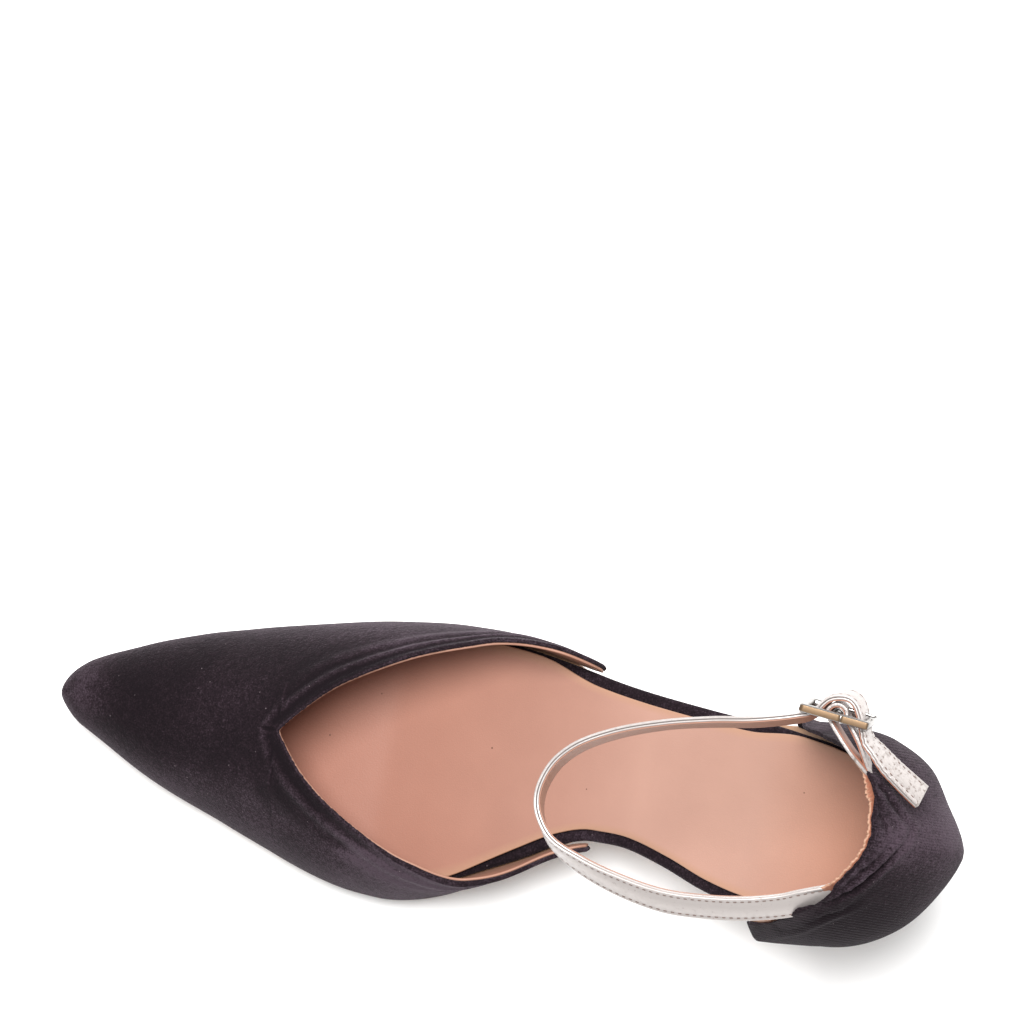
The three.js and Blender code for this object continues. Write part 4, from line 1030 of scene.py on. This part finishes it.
def stayLine(count):
    base = wallMiddle("lateral", buckle["stayShare"], stay["width"] * stay["sewn"])
    radius, gap, aside = stay["radius"], stay["legGap"], stay["aside"]
    toBar = unit((buckleCentre - base) * np.array([1, 1, 0]))
    across = np.array([toBar[1], -toBar[0], 0.0])
    if np.dot(across, alongBuckle) < 0:
        across = -across

    def leg(sign):
        return [base - toBar * stay["sunk"] + across * (sign * gap + aside) - np.array([0, 0, stay["sunk"]]),
                base + toBar * stay["ahead"] + across * (sign * (gap + 0.25) + aside) + np.array([0, 0, 0.6]),
                base * 0.52 + buckleCentre * 0.48 + across * (sign * radius * 0.62 + 0.3)
                + np.array([0, 0, stay["width"] * 0.25])]

    turns = [math.pi * k / 6 for k in range(7)]
    curve = [inBuckle(radius * math.cos(turn), radius * math.sin(turn), 0) for turn in turns]
    spots = leg(1) + curve + leg(-1)[::-1]
    run = Path([throughPoints(spots, i / 600) for i in range(601)])
    return [(run.at(run.length * i / count), upBuckle) for i in range(count + 1)]


stayStops = stayLine(count=120)
foil = bandSection(stay["width"], low=-stay["foilTo"], high=stay["thick"] / 2, radius=0.25)
backing = bandSection(stay["width"] - 0.3, low=-stay["thick"] / 2, high=-stay["liningFrom"], radius=0.12)
addPiece("stayLoop", *sweep(stayStops, foil), tailSilver, "silver_leather", ["buckle_stay"])
addPiece("stayLining", *sweep(stayStops, backing), liningNude, "nude_leather")


# flat rails with bevelled edges and rounded corners
def buckleFrame():
    halfLength, halfHeight = buckle["length"] / 2, buckle["height"] / 2
    wire, bevel = buckle["wire"], buckle["bevel"]
    flat = 0.5 - bevel / wire
    section = [(0, -flat), (0, flat), (bevel, 0.5), (wire - bevel, 0.5), (wire, flat), (wire, -flat),
               (wire - bevel, -0.5), (bevel, -0.5)]
    rows = []
    for cx, cy, start in ((1, 1, 0), (-1, 1, 90), (-1, -1, 180), (1, -1, 270)):
        for k in range(7):
            turn = math.radians(start + 90 * k / 6)
            row = []
            for inset, out in section:
                corner = buckle["corner"] + (buckle["innerCorner"] - buckle["corner"]) * inset / wire
                row.append(inBuckle(cx * (halfLength - inset - corner) + corner * math.cos(turn),
                                    out * buckle["deep"],
                                    cy * (halfHeight - inset - corner) + corner * math.sin(turn)))
            rows.append(row)
    points, faces, _ = weld(*tube(rows + rows[:1], caps=False))
    return points, faces


addPiece("buckleRails", *buckleFrame(), buckleSilver, "buckle_metal", ["buckle_frame"])
barEnd = buckle["height"] / 2 - buckle["wire"] * 0.7
barStops = [(inBuckle(0, 0, z), alongBuckle) for z in np.linspace(-barEnd, barEnd, 8)]
barSection = bandSection(buckle["bar"], low=-buckle["bar"] / 2, high=buckle["bar"] / 2, radius=0.5)
addPiece("buckleBar", *sweep(barStops, barSection), buckleSilver, "buckle_metal")

# gilt facing on the top rail, in two lengths with a hairline between
facing = {"from": -8.9, "join": -1.7, "to": 8.9, "wide": 1.62, "proud": 0.12, "sunk": 0.05, "hairline": 0.14}
section = bandSection(facing["wide"], -facing["proud"] / 2 - facing["sunk"], facing["proud"] / 2, 0.06)
level = buckle["height"] / 2 - facing["sunk"] + facing["proud"] / 2
plates = [sweep([(inBuckle(at, 0, level), outBuckle) for at in np.linspace(low, high, 12)], section)
          for low, high in ((facing["from"], facing["join"] - facing["hairline"]), (facing["join"], facing["to"]))]
addPiece("buckleFacing", *together(plates), buckleGold, "buckle_metal")


# a ring curled round the bar and a pin that narrows to a rounded end on the far rail
def prongBody():
    radius = buckle["prong"] / 2

    def circle(size, count):
        return [(size * math.cos(2 * math.pi * k / count), size * math.sin(2 * math.pi * k / count))
                for k in range(count)]

    def pinSection(share):
        taper = (1 - 0.35 * share) * math.sqrt(max(1e-3, 1 - max(0, (share - 0.9) / 0.1) ** 2))
        return circle(radius * taper, 14)

    turns = circle(buckle["curl"], 32)
    ring = sweep([(inBuckle(a, b, 0), upBuckle) for a, b in turns + turns[:1]], circle(radius, 14), caps=False)
    out = buckle["deep"] / 2 + 0.1 + radius
    end = -buckle["length"] / 2 - buckle["prong"] * 0.3
    pin = sweep([(inBuckle(end * share, out, 0), upBuckle) for share in np.linspace(0, 1, 24)], pinSection)
    return together([ring, pin])


addPiece("buckleProng", *prongBody(), buckleSilver, "buckle_metal", ["buckle_prong"])
print("buckle set")

heel = {"tipLength": 15.0, "tipWidth": 17.0, "topLength": 47.0, "inset": 1.5, "square": 0.72, "flare": 1.7,
        "around": 96, "levels": 60, "foot": 5.1,
        # height of each ring of the tip, and how far it is drawn in
        "tipRings": [(0.0, 0.5), (0.15, 0.2), (0.5, 0.0), (4.6, 0.0), (4.9, 0.15), (5.0, 0.5)], "tipReach": 8.0}


def heelTip(angle):
    cos = math.copysign(abs(math.cos(angle)) ** heel["square"], math.cos(angle))
    return cos, np.array([last["forward"] + heel["tipLength"] / 2 * cos, heel["tipWidth"] / 2 * math.sin(angle)])


def heelSeat(angle, cos):
    u = last["back"] + heel["inset"] + heel["topLength"] / 2 * (1 + cos)
    sin = math.sin(angle)
    halfSide = halfWidth(u, "medial" if sin >= 0 else "lateral") - heel["inset"]
    return np.array([u, last["shift"] + halfSide * math.copysign(min(1, abs(sin) * 1.5), sin)])


def heelLoft():
    rows = []
    for i in range(heel["levels"] + 1):
        share = i / heel["levels"]
        row = []
        for j in range(heel["around"]):
            angle = 2 * math.pi * j / heel["around"]
            cos, tip = heelTip(angle)
            spot = tip + (heelSeat(angle, cos) - tip) * share ** heel["flare"]
            row.append(world(*spot, heel["foot"] + (treadHeight(spot[0]) - 0.05 - heel["foot"]) * share))
        rows.append(row)
    return tube(rows)


addPiece("heelCover", *heelLoft(), velvetPlain, "velvet", ["heel"])
centre = np.array([last["forward"], 0.0])
tips = [heelTip(2 * math.pi * j / heel["around"])[1] for j in range(heel["around"])]
rings = [[world(*(centre + (tip - centre) * (1 - inset / heel["tipReach"])), z) for tip in tips]
         for z, inset in heel["tipRings"]]
addPiece("tipPiece", *tube(rings), tipRubber, "rubber", ["top_piece"])
print("heel covered")

room = {"floor": 6.0, "white": (0.94, 0.94, 0.9353, 1), "world": 0.72}
mesh = bpy.data.meshes.new("studioFloor")
corners = [(room["floor"] * x, room["floor"] * y, 0) for x, y in ((-1, -1), (1, -1), (1, 1), (-1, 1))]
mesh.from_pydata(corners, [], [(0, 1, 2, 3)])
mesh.materials.append(Finish("paleFloor").finished(Base_Color=room["white"], Roughness=0.9, Specular_IOR_Level=0.1))
floor = bpy.data.objects.new("studioFloor", mesh)
bpy.context.scene.collection.objects.link(floor)

scene = bpy.context.scene
scene.world = bpy.data.worlds.new("studio")
scene.world.use_nodes = True
background = scene.world.node_tree.nodes["Background"]
background.inputs["Color"].default_value = (1.0, 1.0, 1.0, 1)
background.inputs["Strength"].default_value = room["world"]
scene.view_settings.view_transform = "Standard"

softbox = {"place": Vector((-0.04, -0.34, 1.30)), "target": Vector((0.08, 0.0, 0.03)), "size": 0.75, "power": 36}
lamp = bpy.data.lights.new("topSoftbox", "AREA")
lamp.shape, lamp.size, lamp.energy = "DISK", softbox["size"], softbox["power"]
lampPiece = bpy.data.objects.new("topSoftbox", lamp)
lampPiece.location = softbox["place"]
lampPiece.rotation_mode = "QUATERNION"
lampPiece.rotation_quaternion = (softbox["target"] - softbox["place"]).to_track_quat("-Z", "Y")
scene.collection.objects.link(lampPiece)

camera = bpy.data.cameras.new("photoCamera")
view = {"azimuth": 258.525, "elevation": 76.736, "roll": -68.759, "lens": 158.9, "distance": 1.2643,
        "target": (0.11663, -0.06979, 0.0), "sensor": 36}
camera.lens, camera.sensor_width = view["lens"], view["sensor"]
camera.clip_start, camera.clip_end = 0.05, 20
pose = Matrix.Translation(view["target"])
for angle, axis in ((view["azimuth"], "Z"), (90 - view["elevation"], "X"), (view["roll"], "Z")):
    pose = pose @ Matrix.Rotation(math.radians(angle), 4, axis)
cameraPiece = bpy.data.objects.new("photoCamera", camera)
cameraPiece.matrix_world = pose @ Matrix.Translation((0, 0, view["distance"]))
scene.collection.objects.link(cameraPiece)
scene.camera = cameraPiece
print("stage lit")
